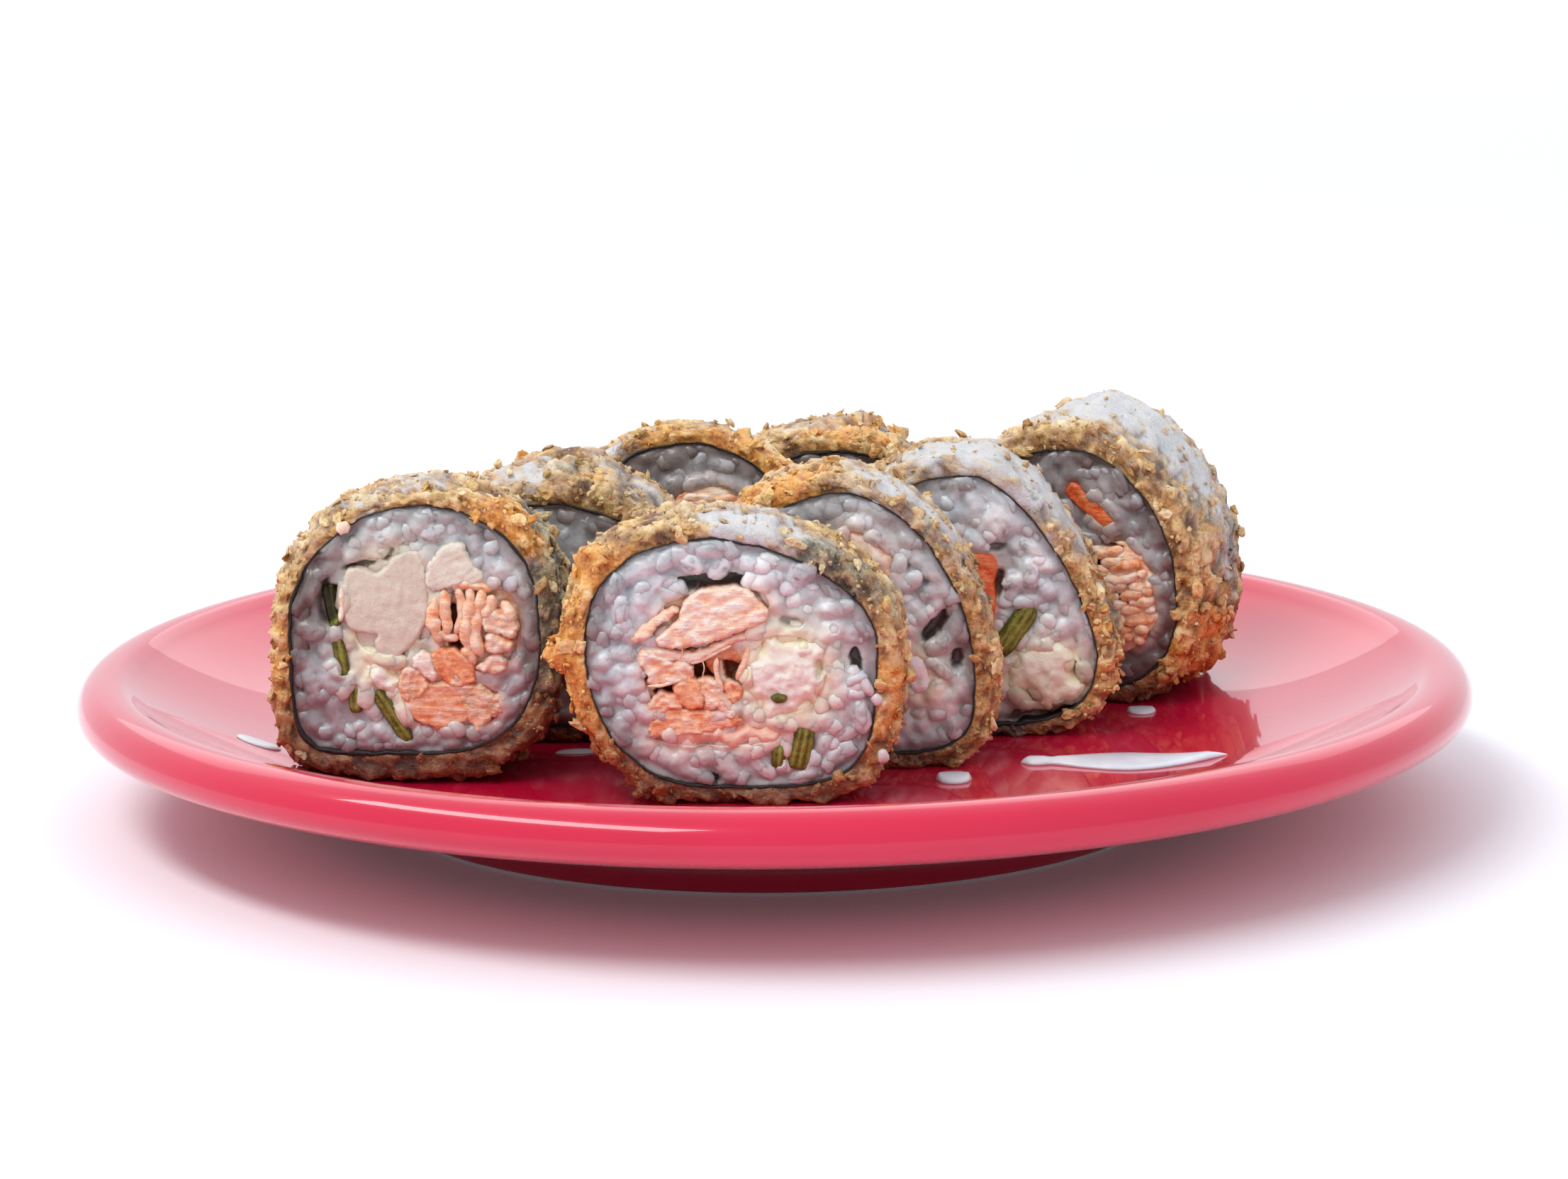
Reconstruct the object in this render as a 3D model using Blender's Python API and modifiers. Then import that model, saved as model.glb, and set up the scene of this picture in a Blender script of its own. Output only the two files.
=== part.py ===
"""A fried sushi roll cut into eight slices, in two rows on a round red plate with drops of white sauce.

Sizes are in millimetres and become metres as each mesh is made. +Z is up, the origin is the middle of the
plate's foot, and the cut faces look towards -Y. A slice has its own frame: the origin on its front cut face,
+X to the right, +Z up and +Y into its depth.
"""

import math
import random
from collections import namedtuple

import bmesh
import bpy
from mathutils import Matrix, Vector, noise
from mathutils.geometry import delaunay_2d_cdt

MM = 0.001
GAP = 0.3  # between neighbouring bodies
SMOOTH_BELOW = math.radians(50)

# Plate
FLOOR_HEIGHT = 9.2
FLOOR_RADIUS = 55.0
CREST_RADIUS = 94.5
CREST_HEIGHT = 21.2
WELL_RADII = (61.0, 67.0, 75.0, 85.0)
LIP = ((97.5, 20.8), (99.4, 19.2), (100.0, 17.3), (99.0, 15.4), (95.5, 13.7))
UNDERSIDE = ((80.0, 9.4), (59.0, 4.0))
FOOT_RADIUS = 57.0
FOOT_WIDTH = 3.0
FOOT_ROUNDING = 0.6
RECESS_HEIGHT = 4.0
PLATE_STEPS = 48
WELD = 0.01

# Slices
SHEET = 0.4  # thickness of the seaweed
SHEET_CLEARANCE = SHEET / 2 + GAP  # from the seaweed's middle line to the rice, and to the coat
FRONT_SIDES = 36
NEAR_SIDES = 32
FAR_SIDES = 28

# Fried coat
BELLY = 0.8  # how far the coat swells halfway along a slice
CRAG = 0.75  # height of the coat's crags
CRAG_SIZE = 3.6
FINE_CRAG_SHARE = 0.6
FINE_CRAG_SCALE = 2.1
LUMP_FALLOFF = 1.5
RIM_RAGGED = 0.35  # how far the coat's rims wander along the slice
RIM_RAGGED_SCALE = 0.4
RIM_BULGE = 0.2  # how far the rims stand past the cut faces
RIM_SHARE = 0.5
SHOULDER_DEPTH = 0.8
SHOULDER_SHARE = 0.95

# Cut faces
GRAIN_RELIEF = 0.5
FLAKE_RELIEF = 0.7
RELIEF_SHARES = (-0.8, 1.0)
GRAIN_SPACING = 4.0
FAR_GRAIN_SPACING = 5.5
BACK_GRAIN_SPACING = 7.0
FLAKE_SPACING = 2.4
SOFT_SPACING = 3.4
BACK_SOFT_SPACING = 4.0
JITTER = 0.2
ROW_PITCH = math.sqrt(3) / 2  # distance between rows of a triangular lattice of unit spacing
LOBE_SCALE = 1.7
SAME_POINT = 1e-6

# Sauce
SAUCE_EDGE = 0.2
SAUCE_SHOULDER = 0.62
SAUCE_LOBE = 0.15
WIDE_SAUCE = 5.0
WIDE_SAUCE_SIDES = 20
SAUCE_SIDES = 10

Slice = namedtuple("Slice", "name place turn lean depth right up left down corners coat lumps fillings sides")
Filling = namedtuple("Filling", "name material place half_width half_height tilt square wobble sides")
Lump = namedtuple("Lump", "angle depth radius height")
Puddle = namedtuple("Puddle", "name place half_width half_height tilt height")
Look = namedtuple("Look", "colour roughness")

LOOKS = {
    "glaze": Look((0.55, 0.012, 0.035), 0.12),
    "coat": Look((0.42, 0.24, 0.07), 0.65),
    "seaweed": Look((0.012, 0.016, 0.014), 0.5),
    "rice": Look((0.56, 0.53, 0.56), 0.45),
    "salmon": Look((0.80, 0.34, 0.20), 0.5),
    "cream": Look((0.78, 0.70, 0.56), 0.4),
    "scallion": Look((0.10, 0.13, 0.02), 0.45),
    "crab": Look((0.72, 0.09, 0.03), 0.4),
    "white_fish": Look((0.72, 0.64, 0.57), 0.35),
    "sauce": Look((0.74, 0.77, 0.82), 0.2),
}


def salmon(name, place, half_width, half_height, tilt=0.0):
    return Filling(name, "salmon", place, half_width, half_height, tilt, 2.6, 0.10, 20)


def soft(name, material, place, half_width, half_height, tilt=0.0):
    return Filling(name, material, place, half_width, half_height, tilt, 2.3, 0.08, 16)


def strip(name, material, place, half_width, half_height, tilt=0.0):
    return Filling(name, material, place, half_width, half_height, tilt, 4.0, 0.0, 12)


SLICES = (
    Slice(
        name="slice_1", place=(-8.3, -44.5, 31.8), turn=0.0, lean=0.0, depth=17.5,
        right=21.9, up=13.8, left=17.0, down=20.1, corners=(1.67, 2.26, 2.21, 4.54),
        coat=(3.0, 1.6, 2.0, 1.9), lumps=(Lump(148, 1.5, 2.8, 2.4), Lump(186, 1.5, 3.0, 3.2)),
        fillings=(
            salmon("salmon_slab", (0.2, 3.9), 7.4, 3.0, 9.0),
            salmon("salmon", (-2.6, -5.2), 6.7, 4.9),
            soft("cream", "cream", (9.9, -4.6), 4.8, 5.4),
            soft("salmon_smear", "salmon", (0.2, -13.0), 8.8, 1.5),
            strip("scallion_1", "scallion", (8.7, -16.0), 0.8, 1.4, -5.0),
            strip("scallion_2", "scallion", (11.8, -14.9), 1.4, 2.8, -12.0),
        ),
        sides=FRONT_SIDES,
    ),
    Slice(
        name="slice_2", place=(10.1, -24.0, 23.7), turn=0.0, lean=0.0, depth=17.0,
        right=17.7, up=24.5, left=18.5, down=12.3, corners=(1.72, 2.36, 2.3, 4.69),
        coat=(2.4, 1.6, 2.2, 1.6), lumps=(Lump(118, 3.0, 3.5, 1.2), Lump(52, 8.0, 2.5, 1.0)),
        fillings=(
            salmon("salmon", (0.4, 0.6), 7.2, 6.8),
            soft("salmon_top", "salmon", (2.9, 16.2), 4.4, 1.9, -40.0),
            strip("cream_cheese", "cream", (9.9, -1.1), 1.2, 2.5, 16.0),
        ),
        sides=NEAR_SIDES,
    ),
    Slice(
        name="slice_3", place=(29.1, -4.0, 21.0), turn=3.0, lean=0.0, depth=19.0,
        right=17.3, up=26.3, left=18.6, down=10.2, corners=(1.43, 2.79, 2.3, 2.67),
        coat=(2.2, 2.2, 2.0, 1.2), lumps=(Lump(75, 12.0, 3.5, 0.8), Lump(10, 8.0, 3.0, 0.8)),
        fillings=(
            salmon("salmon", (-8.4, 2.0), 5.4, 6.2),
            strip("crab", "crab", (0.6, 8.9), 2.1, 6.0, -4.0),
            strip("scallion", "scallion", (5.5, 3.9), 1.5, 4.1, -35.0),
            soft("cream", "cream", (9.9, -3.1), 5.2, 3.8),
        ),
        sides=NEAR_SIDES,
    ),
    Slice(
        name="slice_4", place=(44.3, 19.6, 26.7), turn=27.0, lean=4.0, depth=19.5,
        right=16.9, up=21.0, left=18.5, down=15.7, corners=(1.94, 2.02, 2.3, 2.51),
        coat=(2.7, 3.0, 2.2, 1.6),
        lumps=(Lump(-32, 8.0, 4.5, 1.8), Lump(28, 9.0, 3.5, 1.0), Lump(85, 14.0, 6.0, 1.6)),
        fillings=(
            salmon("salmon", (5.8, -1.2), 8.0, 8.2),
            strip("crab", "crab", (3.5, 12.6), 4.4, 1.3, -38.0),
            soft("cream", "cream", (-7.8, -1.5), 4.0, 5.2),
        ),
        sides=NEAR_SIDES,
    ),
    Slice(
        name="slice_5", place=(-49.2, -31.0, 32.7), turn=0.0, lean=0.0, depth=19.5,
        right=17.0, up=15.5, left=17.2, down=19.1, corners=(2.2, 1.81, 6.65, 2.91),
        coat=(2.3, 1.0, 1.5, 3.2),
        lumps=(Lump(46, 2.0, 3.6, 1.6), Lump(126, 2.0, 2.4, 1.5), Lump(-45, 5.0, 4.0, 0.9)),
        fillings=(
            soft("white_fish", "white_fish", (-3.7, 1.7), 4.7, 7.0, -15.0),
            salmon("salmon", (8.6, -1.5), 5.7, 6.1),
            salmon("salmon_low", (4.7, -12.1), 6.6, 3.3),
            soft("cream", "cream", (-4.1, -8.3), 2.5, 1.3, -20.0),
            strip("scallion_1", "scallion", (-11.4, 1.7), 0.95, 2.7, 10.0),
            strip("scallion_2", "scallion", (-10.3, -5.3), 0.75, 2.8, 9.0),
            strip("scallion_3", "scallion", (-8.4, -11.2), 0.85, 1.9, 0.0),
            strip("scallion_4", "scallion", (-3.3, -13.8), 0.9, 4.1, 32.0),
        ),
        sides=FRONT_SIDES,
    ),
    Slice(
        name="slice_6", place=(-31.8, -5.9, 27.0), turn=2.0, lean=0.0, depth=21.0,
        right=18.2, up=17.0, left=18.2, down=15.4, corners=(2.1, 2.3, 2.4, 3.0),
        coat=(2.8, 2.6, 2.4, 1.6), lumps=(Lump(82, 14.0, 10.0, 2.4), Lump(45, 11.0, 4.5, 0.9)),
        fillings=(
            salmon("salmon", (-3.0, -0.5), 6.8, 6.4),
            soft("cream", "cream", (8.6, -2.5), 3.4, 4.8),
        ),
        sides=FAR_SIDES,
    ),
    Slice(
        name="slice_7", place=(-13.0, 17.6, 29.5), turn=0.0, lean=-8.0, depth=17.0,
        right=18.0, up=19.5, left=17.4, down=16.0, corners=(2.0, 2.1, 2.4, 2.8),
        coat=(2.4, 1.8, 2.2, 1.5), lumps=(Lump(140, 2.0, 3.0, 1.2), Lump(40, 2.5, 3.2, 1.3)),
        fillings=(
            salmon("salmon", (3.4, 4.6), 6.2, 8.6),
            soft("cream", "cream", (-8.0, -1.5), 3.8, 5.4),
        ),
        sides=FAR_SIDES,
    ),
    Slice(
        name="slice_8", place=(9.2, 39.5, 28.6), turn=-2.0, lean=0.0, depth=17.0,
        right=15.8, up=15.9, left=16.6, down=17.1, corners=(2.1, 2.2, 2.5, 2.7),
        coat=(2.4, 2.2, 2.4, 1.5), lumps=(Lump(76, 9.0, 3.4, 1.8), Lump(128, 5.0, 3.0, 0.9)),
        fillings=(
            salmon("salmon", (-2.5, -0.5), 6.8, 6.6),
            soft("cream", "cream", (8.8, -2.0), 3.5, 4.8),
        ),
        sides=FAR_SIDES,
    ),
)

PUDDLES = (
    Puddle("sauce_smear", (50.7, -22.6), 12.6, 4.4, 3.0, 0.9),
    Puddle("sauce_dot", (36.2, -20.9), 1.7, 1.7, 0.0, 1.0),
    Puddle("sauce_drop_front", (24.6, -30.9), 2.5, 2.9, 0.0, 1.0),
    Puddle("sauce_drop_right", (54.3, 11.8), 2.0, 2.4, 0.0, 0.6),
    Puddle("sauce_drop_left", (-72.8, -17.6), 3.2, 2.2, -20.0, 0.5),
)


def plate_top(radius):
    """Height of the plate's eating surface: a flat floor, then a well that steepens up to the lip's crest."""
    climb = max(0.0, (radius - FLOOR_RADIUS) / (CREST_RADIUS - FLOOR_RADIUS))
    return FLOOR_HEIGHT + (CREST_HEIGHT - FLOOR_HEIGHT) * climb**2


def plate_profile():
    """Half section of the plate, from the middle of the floor over the lip and down to the foot's recess."""
    well = [(radius, plate_top(radius)) for radius in (0.0, FLOOR_RADIUS, *WELL_RADII, CREST_RADIUS)]
    foot_inside = FOOT_RADIUS - FOOT_WIDTH
    foot = [
        (FOOT_RADIUS + FOOT_ROUNDING, FOOT_ROUNDING),
        (FOOT_RADIUS, 0.0),
        (foot_inside, 0.0),
        (foot_inside - FOOT_ROUNDING, FOOT_ROUNDING),
        (foot_inside - 2 * FOOT_ROUNDING, RECESS_HEIGHT),
        (0.0, RECESS_HEIGHT),
    ]
    return well + list(LIP) + list(UNDERSIDE) + foot


def superellipse(right, up, left, down, corners, angle):
    """Distance from the middle to an outline that has its own half size and fullness in each quarter."""
    across = math.cos(angle)
    along = math.sin(angle)
    half_width = right if across >= 0 else left
    half_height = up if along >= 0 else down
    quarter = int((angle % (2 * math.pi)) // (math.pi / 2))
    power = corners[quarter]
    total = abs(across / half_width) ** power + abs(along / half_height) ** power
    return total ** (-1 / power)


def turns(count):
    return [2 * math.pi * (index + 0.5) / count for index in range(count)]


def roll_loop(piece, inset):
    """The slice's outline at the seaweed, moved in by inset along the outline's own normal."""
    outline = []
    for angle in turns(piece.sides):
        reach = superellipse(piece.right, piece.up, piece.left, piece.down, piece.corners, angle)
        outline.append(Vector((reach * math.cos(angle), reach * math.sin(angle))))
    return [point - normal * inset for point, normal in zip(outline, loop_normals(outline))]


def loop_normals(loop):
    normals = []
    for index in range(len(loop)):
        along = (loop[(index + 1) % len(loop)] - loop[index - 1]).normalized()
        normals.append(Vector((along.y, -along.x)))
    return normals


def filling_loop(piece, filling, grow):
    """A filling's outline: a rounded bar or blob with shallow lobes, grown by grow all round."""
    seed = sum(map(ord, piece.name + filling.name))
    tilt = Matrix.Rotation(math.radians(filling.tilt), 2)
    loop = []
    for angle in turns(filling.sides):
        across = math.copysign(abs(math.cos(angle)) ** (2 / filling.square), math.cos(angle))
        along = math.copysign(abs(math.sin(angle)) ** (2 / filling.square), math.sin(angle))
        lobe = 1.0 + filling.wobble * noise.noise(Vector((across * LOBE_SCALE, along * LOBE_SCALE, seed)))
        loop.append(Vector((across * filling.half_width * lobe, along * filling.half_height * lobe)))
    loop = [point + normal * grow for point, normal in zip(loop, loop_normals(loop))]
    return [tilt @ point + Vector(filling.place) for point in loop]


def placement(piece):
    turn = Matrix.Rotation(math.radians(-piece.turn), 4, "Z")
    lean = Matrix.Rotation(math.radians(piece.lean), 4, "X")
    return Matrix.Translation(Vector(piece.place)) @ turn @ lean


def coat_thickness(piece, angle):
    right, up, left, down = piece.coat
    sideways = right if math.cos(angle) >= 0 else left
    upright = up if math.sin(angle) >= 0 else down
    return sideways * math.cos(angle) ** 2 + upright * math.sin(angle) ** 2


def coat_swell(piece, point, angle, depth):
    """How far the fried coat stands beyond its plain thickness: belly, lumps and crags."""
    swell = BELLY * math.sin(math.pi * min(max(depth / piece.depth, 0.0), 1.0))
    for lump in piece.lumps:
        turned = angle - math.radians(lump.angle)
        off = math.atan2(math.sin(turned), math.cos(turned))
        distance = math.hypot(off * piece.right, depth - lump.depth)
        swell += lump.height * math.exp(-((distance / lump.radius) ** 2) * LUMP_FALLOFF)
    spot = Vector((point.x, depth, point.y)) / CRAG_SIZE + Vector(piece.place)
    return swell + CRAG * (noise.noise(spot) + FINE_CRAG_SHARE * noise.noise(spot * FINE_CRAG_SCALE))


def on_plate(matrix, point):
    """Lifts a point of the coat to just above the plate where the slice rests on it."""
    world = matrix @ point
    rest = plate_top(math.hypot(world.x, world.y)) + GAP
    world.z = max(world.z, rest)
    return matrix.inverted() @ world


def coat_stations(piece):
    """Rings of the coat as (depth, share of the thickness), from the inner wall's front round to its back."""
    last = piece.depth
    rings = 4 if piece.sides > FAR_SIDES else 3
    middle = [(last * step / rings, 1.0) for step in range(1, rings)]
    front = [(0.0, 0.0), (-RIM_BULGE, RIM_SHARE), (SHOULDER_DEPTH, SHOULDER_SHARE)]
    back = [(last - SHOULDER_DEPTH, SHOULDER_SHARE), (last + RIM_BULGE, RIM_SHARE), (last, 0.0)]
    return front + middle + back


def coat_rings(piece):
    matrix = placement(piece)
    inner = roll_loop(piece, -SHEET_CLEARANCE)
    normals = loop_normals(inner)
    rings = []
    for depth, share in coat_stations(piece):
        ring = []
        for point, normal in zip(inner, normals):
            angle = math.atan2(point.y, point.x)
            thickness = coat_thickness(piece, angle) + coat_swell(piece, point, angle, depth)
            outer = point + normal * thickness * share
            place = Vector((outer.x, depth, outer.y))
            if 0 < share < 1:
                place.y += RIM_RAGGED * noise.noise(place.xzy * RIM_RAGGED_SCALE)
            ring.append(on_plate(matrix, place) if share > 0 else place)
        rings.append(ring)
    return rings


def seaweed_rings(piece):
    rings = []
    for inset, depth in (
        (SHEET / 2, 0.0),
        (-SHEET / 2, 0.0),
        (-SHEET / 2, piece.depth),
        (SHEET / 2, piece.depth),
    ):
        rings.append([Vector((point.x, depth, point.y)) for point in roll_loop(piece, inset)])
    return rings


def bridge(mesh, one, other):
    for index in range(len(one)):
        following = (index + 1) % len(one)
        mesh.faces.new((one[index], one[following], other[following], other[index]))


def hoop(rings):
    """A closed tube-like body whose rings follow each other round and back to the first."""
    mesh = bmesh.new()
    loops = [[mesh.verts.new(point) for point in ring] for ring in rings]
    for index, loop in enumerate(loops):
        bridge(mesh, loops[index - 1], loop)
    return mesh


def inside(point, loop):
    crossings = 0
    for index in range(len(loop)):
        start = loop[index - 1]
        end = loop[index]
        if (start.y > point.y) != (end.y > point.y):
            across = start.x + (point.y - start.y) / (end.y - start.y) * (end.x - start.x)
            crossings += across > point.x
    return crossings % 2 == 1


def distance_to_loop(point, loop):
    nearest = math.inf
    for index in range(len(loop)):
        start = loop[index - 1]
        side = loop[index] - start
        share = min(max((point - start).dot(side) / side.length_squared, 0.0), 1.0)
        nearest = min(nearest, (start + side * share - point).length)
    return nearest


def scattered(loops, spacing, draw):
    """Points on a jittered triangular lattice inside the first loop and outside the others."""
    outline = loops[0]
    low_x = min(point.x for point in outline)
    high_x = max(point.x for point in outline)
    low_y = min(point.y for point in outline)
    high_y = max(point.y for point in outline)
    points = []
    for row in range(int((high_y - low_y) / (spacing * ROW_PITCH)) + 1):
        for column in range(int((high_x - low_x) / spacing) + 2):
            shift = 0.5 * spacing * (row % 2)
            jitter = Vector((draw.uniform(-JITTER, JITTER), draw.uniform(-JITTER, JITTER))) * spacing
            point = Vector((low_x + column * spacing - shift, low_y + row * spacing * ROW_PITCH)) + jitter
            if not inside(point, outline) or any(inside(point, hole) for hole in loops[1:]):
                continue
            if min(distance_to_loop(point, loop) for loop in loops) > 0.5 * spacing:
                points.append(point)
    return points


def cut_face(mesh, loops, rims, depth, out, relief, spacing, draw):
    """Triangulates one cut face between its rims, with its inner points raised or sunk by up to relief."""
    flat = [point for loop in loops for point in loop]
    edges = []
    start = 0
    for loop in loops:
        count = len(loop)
        edges += [(start + index, start + (index + 1) % count) for index in range(count)]
        start += count
    inner = scattered(loops, spacing, draw)
    verts = [vert for rim in rims for vert in rim]
    for point in inner:
        raised = out * relief * draw.uniform(*RELIEF_SHARES)
        verts.append(mesh.verts.new((point.x, depth + raised, point.y)))
    corners, _, faces, origins, _, _ = delaunay_2d_cdt(flat + inner, edges, [], 0, SAME_POINT)
    for face in faces:
        middle = sum((corners[index] for index in face), Vector((0, 0))) / 3
        if inside(middle, loops[0]) and not any(inside(middle, hole) for hole in loops[1:]):
            mesh.faces.new([verts[origins[index][0]] for index in face])


def slab(loops, depth, relief, spacings, seed):
    """A body between two cut faces with the outline loops[0], less the holes that the other loops bound."""
    mesh = bmesh.new()
    draw = random.Random(seed)
    fronts = [[mesh.verts.new((point.x, 0.0, point.y)) for point in loop] for loop in loops]
    backs = [[mesh.verts.new((point.x, depth, point.y)) for point in loop] for loop in loops]
    for front, back in zip(fronts, backs):
        bridge(mesh, front, back)
    cut_face(mesh, loops, fronts, 0.0, -1.0, relief, spacings[0], draw)
    cut_face(mesh, loops, backs, depth, 1.0, relief, spacings[1], draw)
    return mesh


def puddle(drop):
    """A thin dome of sauce that follows the plate's surface."""
    mesh = bmesh.new()
    tilt = Matrix.Rotation(math.radians(drop.tilt), 2)
    sides = WIDE_SAUCE_SIDES if drop.half_width > WIDE_SAUCE else SAUCE_SIDES

    def ring(scale, lift):
        verts = []
        for angle in turns(sides):
            way = Vector((math.cos(angle), math.sin(angle)))
            lobe = 1.0 + SAUCE_LOBE * noise.noise(Vector((*way, drop.place[0])))
            reach = Vector((drop.half_width * way.x, drop.half_height * way.y)) * lobe * scale
            spot = tilt @ reach + Vector(drop.place)
            verts.append(mesh.verts.new((spot.x, spot.y, plate_top(spot.length) + GAP + lift)))
        return verts

    under = ring(1.0, 0.0)
    edge = ring(1.0, SAUCE_EDGE)
    shoulder = ring(SAUCE_SHOULDER, drop.height)
    bridge(mesh, under, edge)
    bridge(mesh, edge, shoulder)
    for loop in (under, shoulder):
        height = sum(vert.co.z for vert in loop) / sides
        middle = mesh.verts.new((*drop.place, height))
        for index in range(sides):
            mesh.faces.new((loop[index - 1], loop[index], middle))
    return mesh


def material(name):
    found = bpy.data.materials.get(name)
    if found:
        return found
    look = LOOKS[name]
    made = bpy.data.materials.new(name)
    made.use_nodes = True
    shader = made.node_tree.nodes["Principled BSDF"]
    shader.inputs["Base Color"].default_value = (*look.colour, 1.0)
    shader.inputs["Roughness"].default_value = look.roughness
    return made


def add(name, mesh, look, collection, parent=None, smooth=False):
    """Makes one object of a bmesh in millimetres, all its faces turned outwards."""
    bmesh.ops.triangulate(mesh, faces=mesh.faces[:])
    bmesh.ops.recalc_face_normals(mesh, faces=mesh.faces[:])
    bmesh.ops.scale(mesh, verts=mesh.verts[:], vec=(MM, MM, MM))
    data = bpy.data.meshes.new(name)
    mesh.to_mesh(data)
    mesh.free()
    if smooth:
        data.shade_smooth()
        data.set_sharp_from_angle(angle=SMOOTH_BELOW)
    data.materials.append(material(look))
    made = bpy.data.objects.new(name, data)
    made.parent = parent
    collection.objects.link(made)
    return made


def build_plate(collection):
    """The plate is its half section turned about Z."""
    data = bpy.data.meshes.new("plate")
    points = [(radius * MM, 0.0, height * MM) for radius, height in plate_profile()]
    data.from_pydata(points, [(index, index + 1) for index in range(len(points) - 1)], [])
    data.materials.append(material("glaze"))
    plate = bpy.data.objects.new("plate", data)
    collection.objects.link(plate)
    turned = plate.modifiers.new("turned", "SCREW")
    turned.axis = "Z"
    turned.angle = 2 * math.pi
    turned.steps = PLATE_STEPS
    turned.render_steps = PLATE_STEPS
    turned.use_merge_vertices = True
    turned.merge_threshold = WELD * MM
    turned.use_smooth_shade = True


def build_slice(piece, collection):
    """One slice: fried coat, seaweed, rice, and each filling that runs through the rice."""
    holder = bpy.data.objects.new(piece.name, None)
    holder.matrix_world = placement(piece)
    holder.location *= MM
    collection.objects.link(holder)
    seed = int(piece.name[-1])
    near = piece.sides > FAR_SIDES

    add(f"{piece.name}_coat", hoop(coat_rings(piece)), "coat", collection, holder)
    add(f"{piece.name}_seaweed", hoop(seaweed_rings(piece)), "seaweed", collection, holder, smooth=True)

    holes = [filling_loop(piece, filling, GAP) for filling in piece.fillings]
    spacings = (GRAIN_SPACING if near else FAR_GRAIN_SPACING, BACK_GRAIN_SPACING)
    rice = slab([roll_loop(piece, SHEET_CLEARANCE), *holes], piece.depth, GRAIN_RELIEF, spacings, seed)
    add(f"{piece.name}_rice", rice, "rice", collection, holder)

    for filling in piece.fillings:
        flaky = filling.material == "salmon"
        relief = FLAKE_RELIEF if flaky else GRAIN_RELIEF
        spacings = (FLAKE_SPACING if near and flaky else SOFT_SPACING, BACK_SOFT_SPACING)
        body = slab([filling_loop(piece, filling, 0.0)], piece.depth, relief, spacings, seed)
        add(f"{piece.name}_{filling.name}", body, filling.material, collection, holder)


def main():
    for stale in list(bpy.data.objects):
        bpy.data.objects.remove(stale, do_unlink=True)
    collection = bpy.data.collections.new("fried_sushi_roll")
    bpy.context.scene.collection.children.link(collection)
    build_plate(collection)
    for piece in SLICES:
        build_slice(piece, collection)
    for drop in PUDDLES:
        add(drop.name, puddle(drop), "sauce", collection, smooth=True)


main()
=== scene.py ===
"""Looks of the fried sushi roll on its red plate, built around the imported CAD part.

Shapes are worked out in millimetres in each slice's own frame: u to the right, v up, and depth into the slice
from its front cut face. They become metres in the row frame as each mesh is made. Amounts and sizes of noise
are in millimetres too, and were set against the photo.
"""

import math
from collections import namedtuple

import bpy
import numpy as np
from mathutils import Matrix, Vector, noise
from mathutils.geometry import delaunay_2d_cdt


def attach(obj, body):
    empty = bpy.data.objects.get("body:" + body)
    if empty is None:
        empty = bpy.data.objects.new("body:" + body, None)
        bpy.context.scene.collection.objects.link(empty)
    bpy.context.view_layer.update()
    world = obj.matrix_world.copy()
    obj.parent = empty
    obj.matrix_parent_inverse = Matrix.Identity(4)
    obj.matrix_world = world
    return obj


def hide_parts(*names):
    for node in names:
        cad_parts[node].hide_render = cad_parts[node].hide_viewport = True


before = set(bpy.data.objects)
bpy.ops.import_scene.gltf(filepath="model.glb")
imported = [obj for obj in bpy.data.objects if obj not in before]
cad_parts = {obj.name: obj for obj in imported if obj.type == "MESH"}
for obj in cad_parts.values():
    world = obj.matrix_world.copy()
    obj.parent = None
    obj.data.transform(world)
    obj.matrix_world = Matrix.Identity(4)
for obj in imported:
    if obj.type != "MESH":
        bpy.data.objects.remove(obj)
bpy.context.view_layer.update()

MM = 0.001

# These sizes are the same as in the part's source.
FLOOR_HEIGHT = 9.2
FLOOR_RADIUS = 55.0
CREST_RADIUS = 94.5
CREST_HEIGHT = 21.2
SHEET = 0.4
CLEARANCE = SHEET / 2 + 0.3
BELLY = 0.8
CRAG = 0.75
CRAG_SIZE = 3.6
FINE_CRAG_SHARE = 0.6
FINE_CRAG_SCALE = 2.1
LUMP_FALLOFF = 1.5

# How far pieces stay above the plate, and a slice's usual radius and its coat's usual thickness.
COAT_GAP = 0.05
SHEET_GAP = 0.03
SAUCE_GAP = 0.02
USUAL_RADIUS = 18.0
USUAL_COAT = 2

# Heights on the plate: below the first the glaze gets painted shade on the plate's underside, and the foot is
# bare below the second.
SHADED_GLAZE_HEIGHT = FLOOR_HEIGHT - 2.6
BARE_HEIGHT = 0.35

# How fine the meshes are: points around each kind of ring, points along a drawn line, and distances
# between points.
COAT_SIDES = 244
SHEET_SIDES = 240
RICE_SIDES = 180
HOLE_SIDES = 40
PLATE_SIDES = 224
STRAND_SIDES = 10
SAUCE_SIDES = 28
GRAIN_SIDES = 8
GRAIN_RINGS = 5
POINTS_PER_MM = 3.2
COAT_ROW = 0.63
FACE_MESH = 0.32
# Rows of points lie closer by this than the points in a row, as in a pattern of even triangles.
ROW_SHARE = 0.87

# Rice grains: length, width and thickness, the least distance between them at the front and the back cut
# face, how far they come out of the mass or stay in it, and the share that come out.
GRAIN_LENGTH = (3.3, 5.2)
GRAIN_WIDTH = (2.2, 2.9)
GRAIN_THICKNESS = (1.9, 2.4)
FRONT_SPACING = 2.0
BACK_SPACING = 2.6
PLACE_TRIES = 3600
HEADING_TRIES = 7
GRAIN_OUT = 0.12
GRAIN_IN = -0.18
PROUD_GRAINS = 0.45
# How softly grains run into one another, and how much more softly where they are pressed.
FUSION = 0.13
MUSH_FUSION = 0.2

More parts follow.
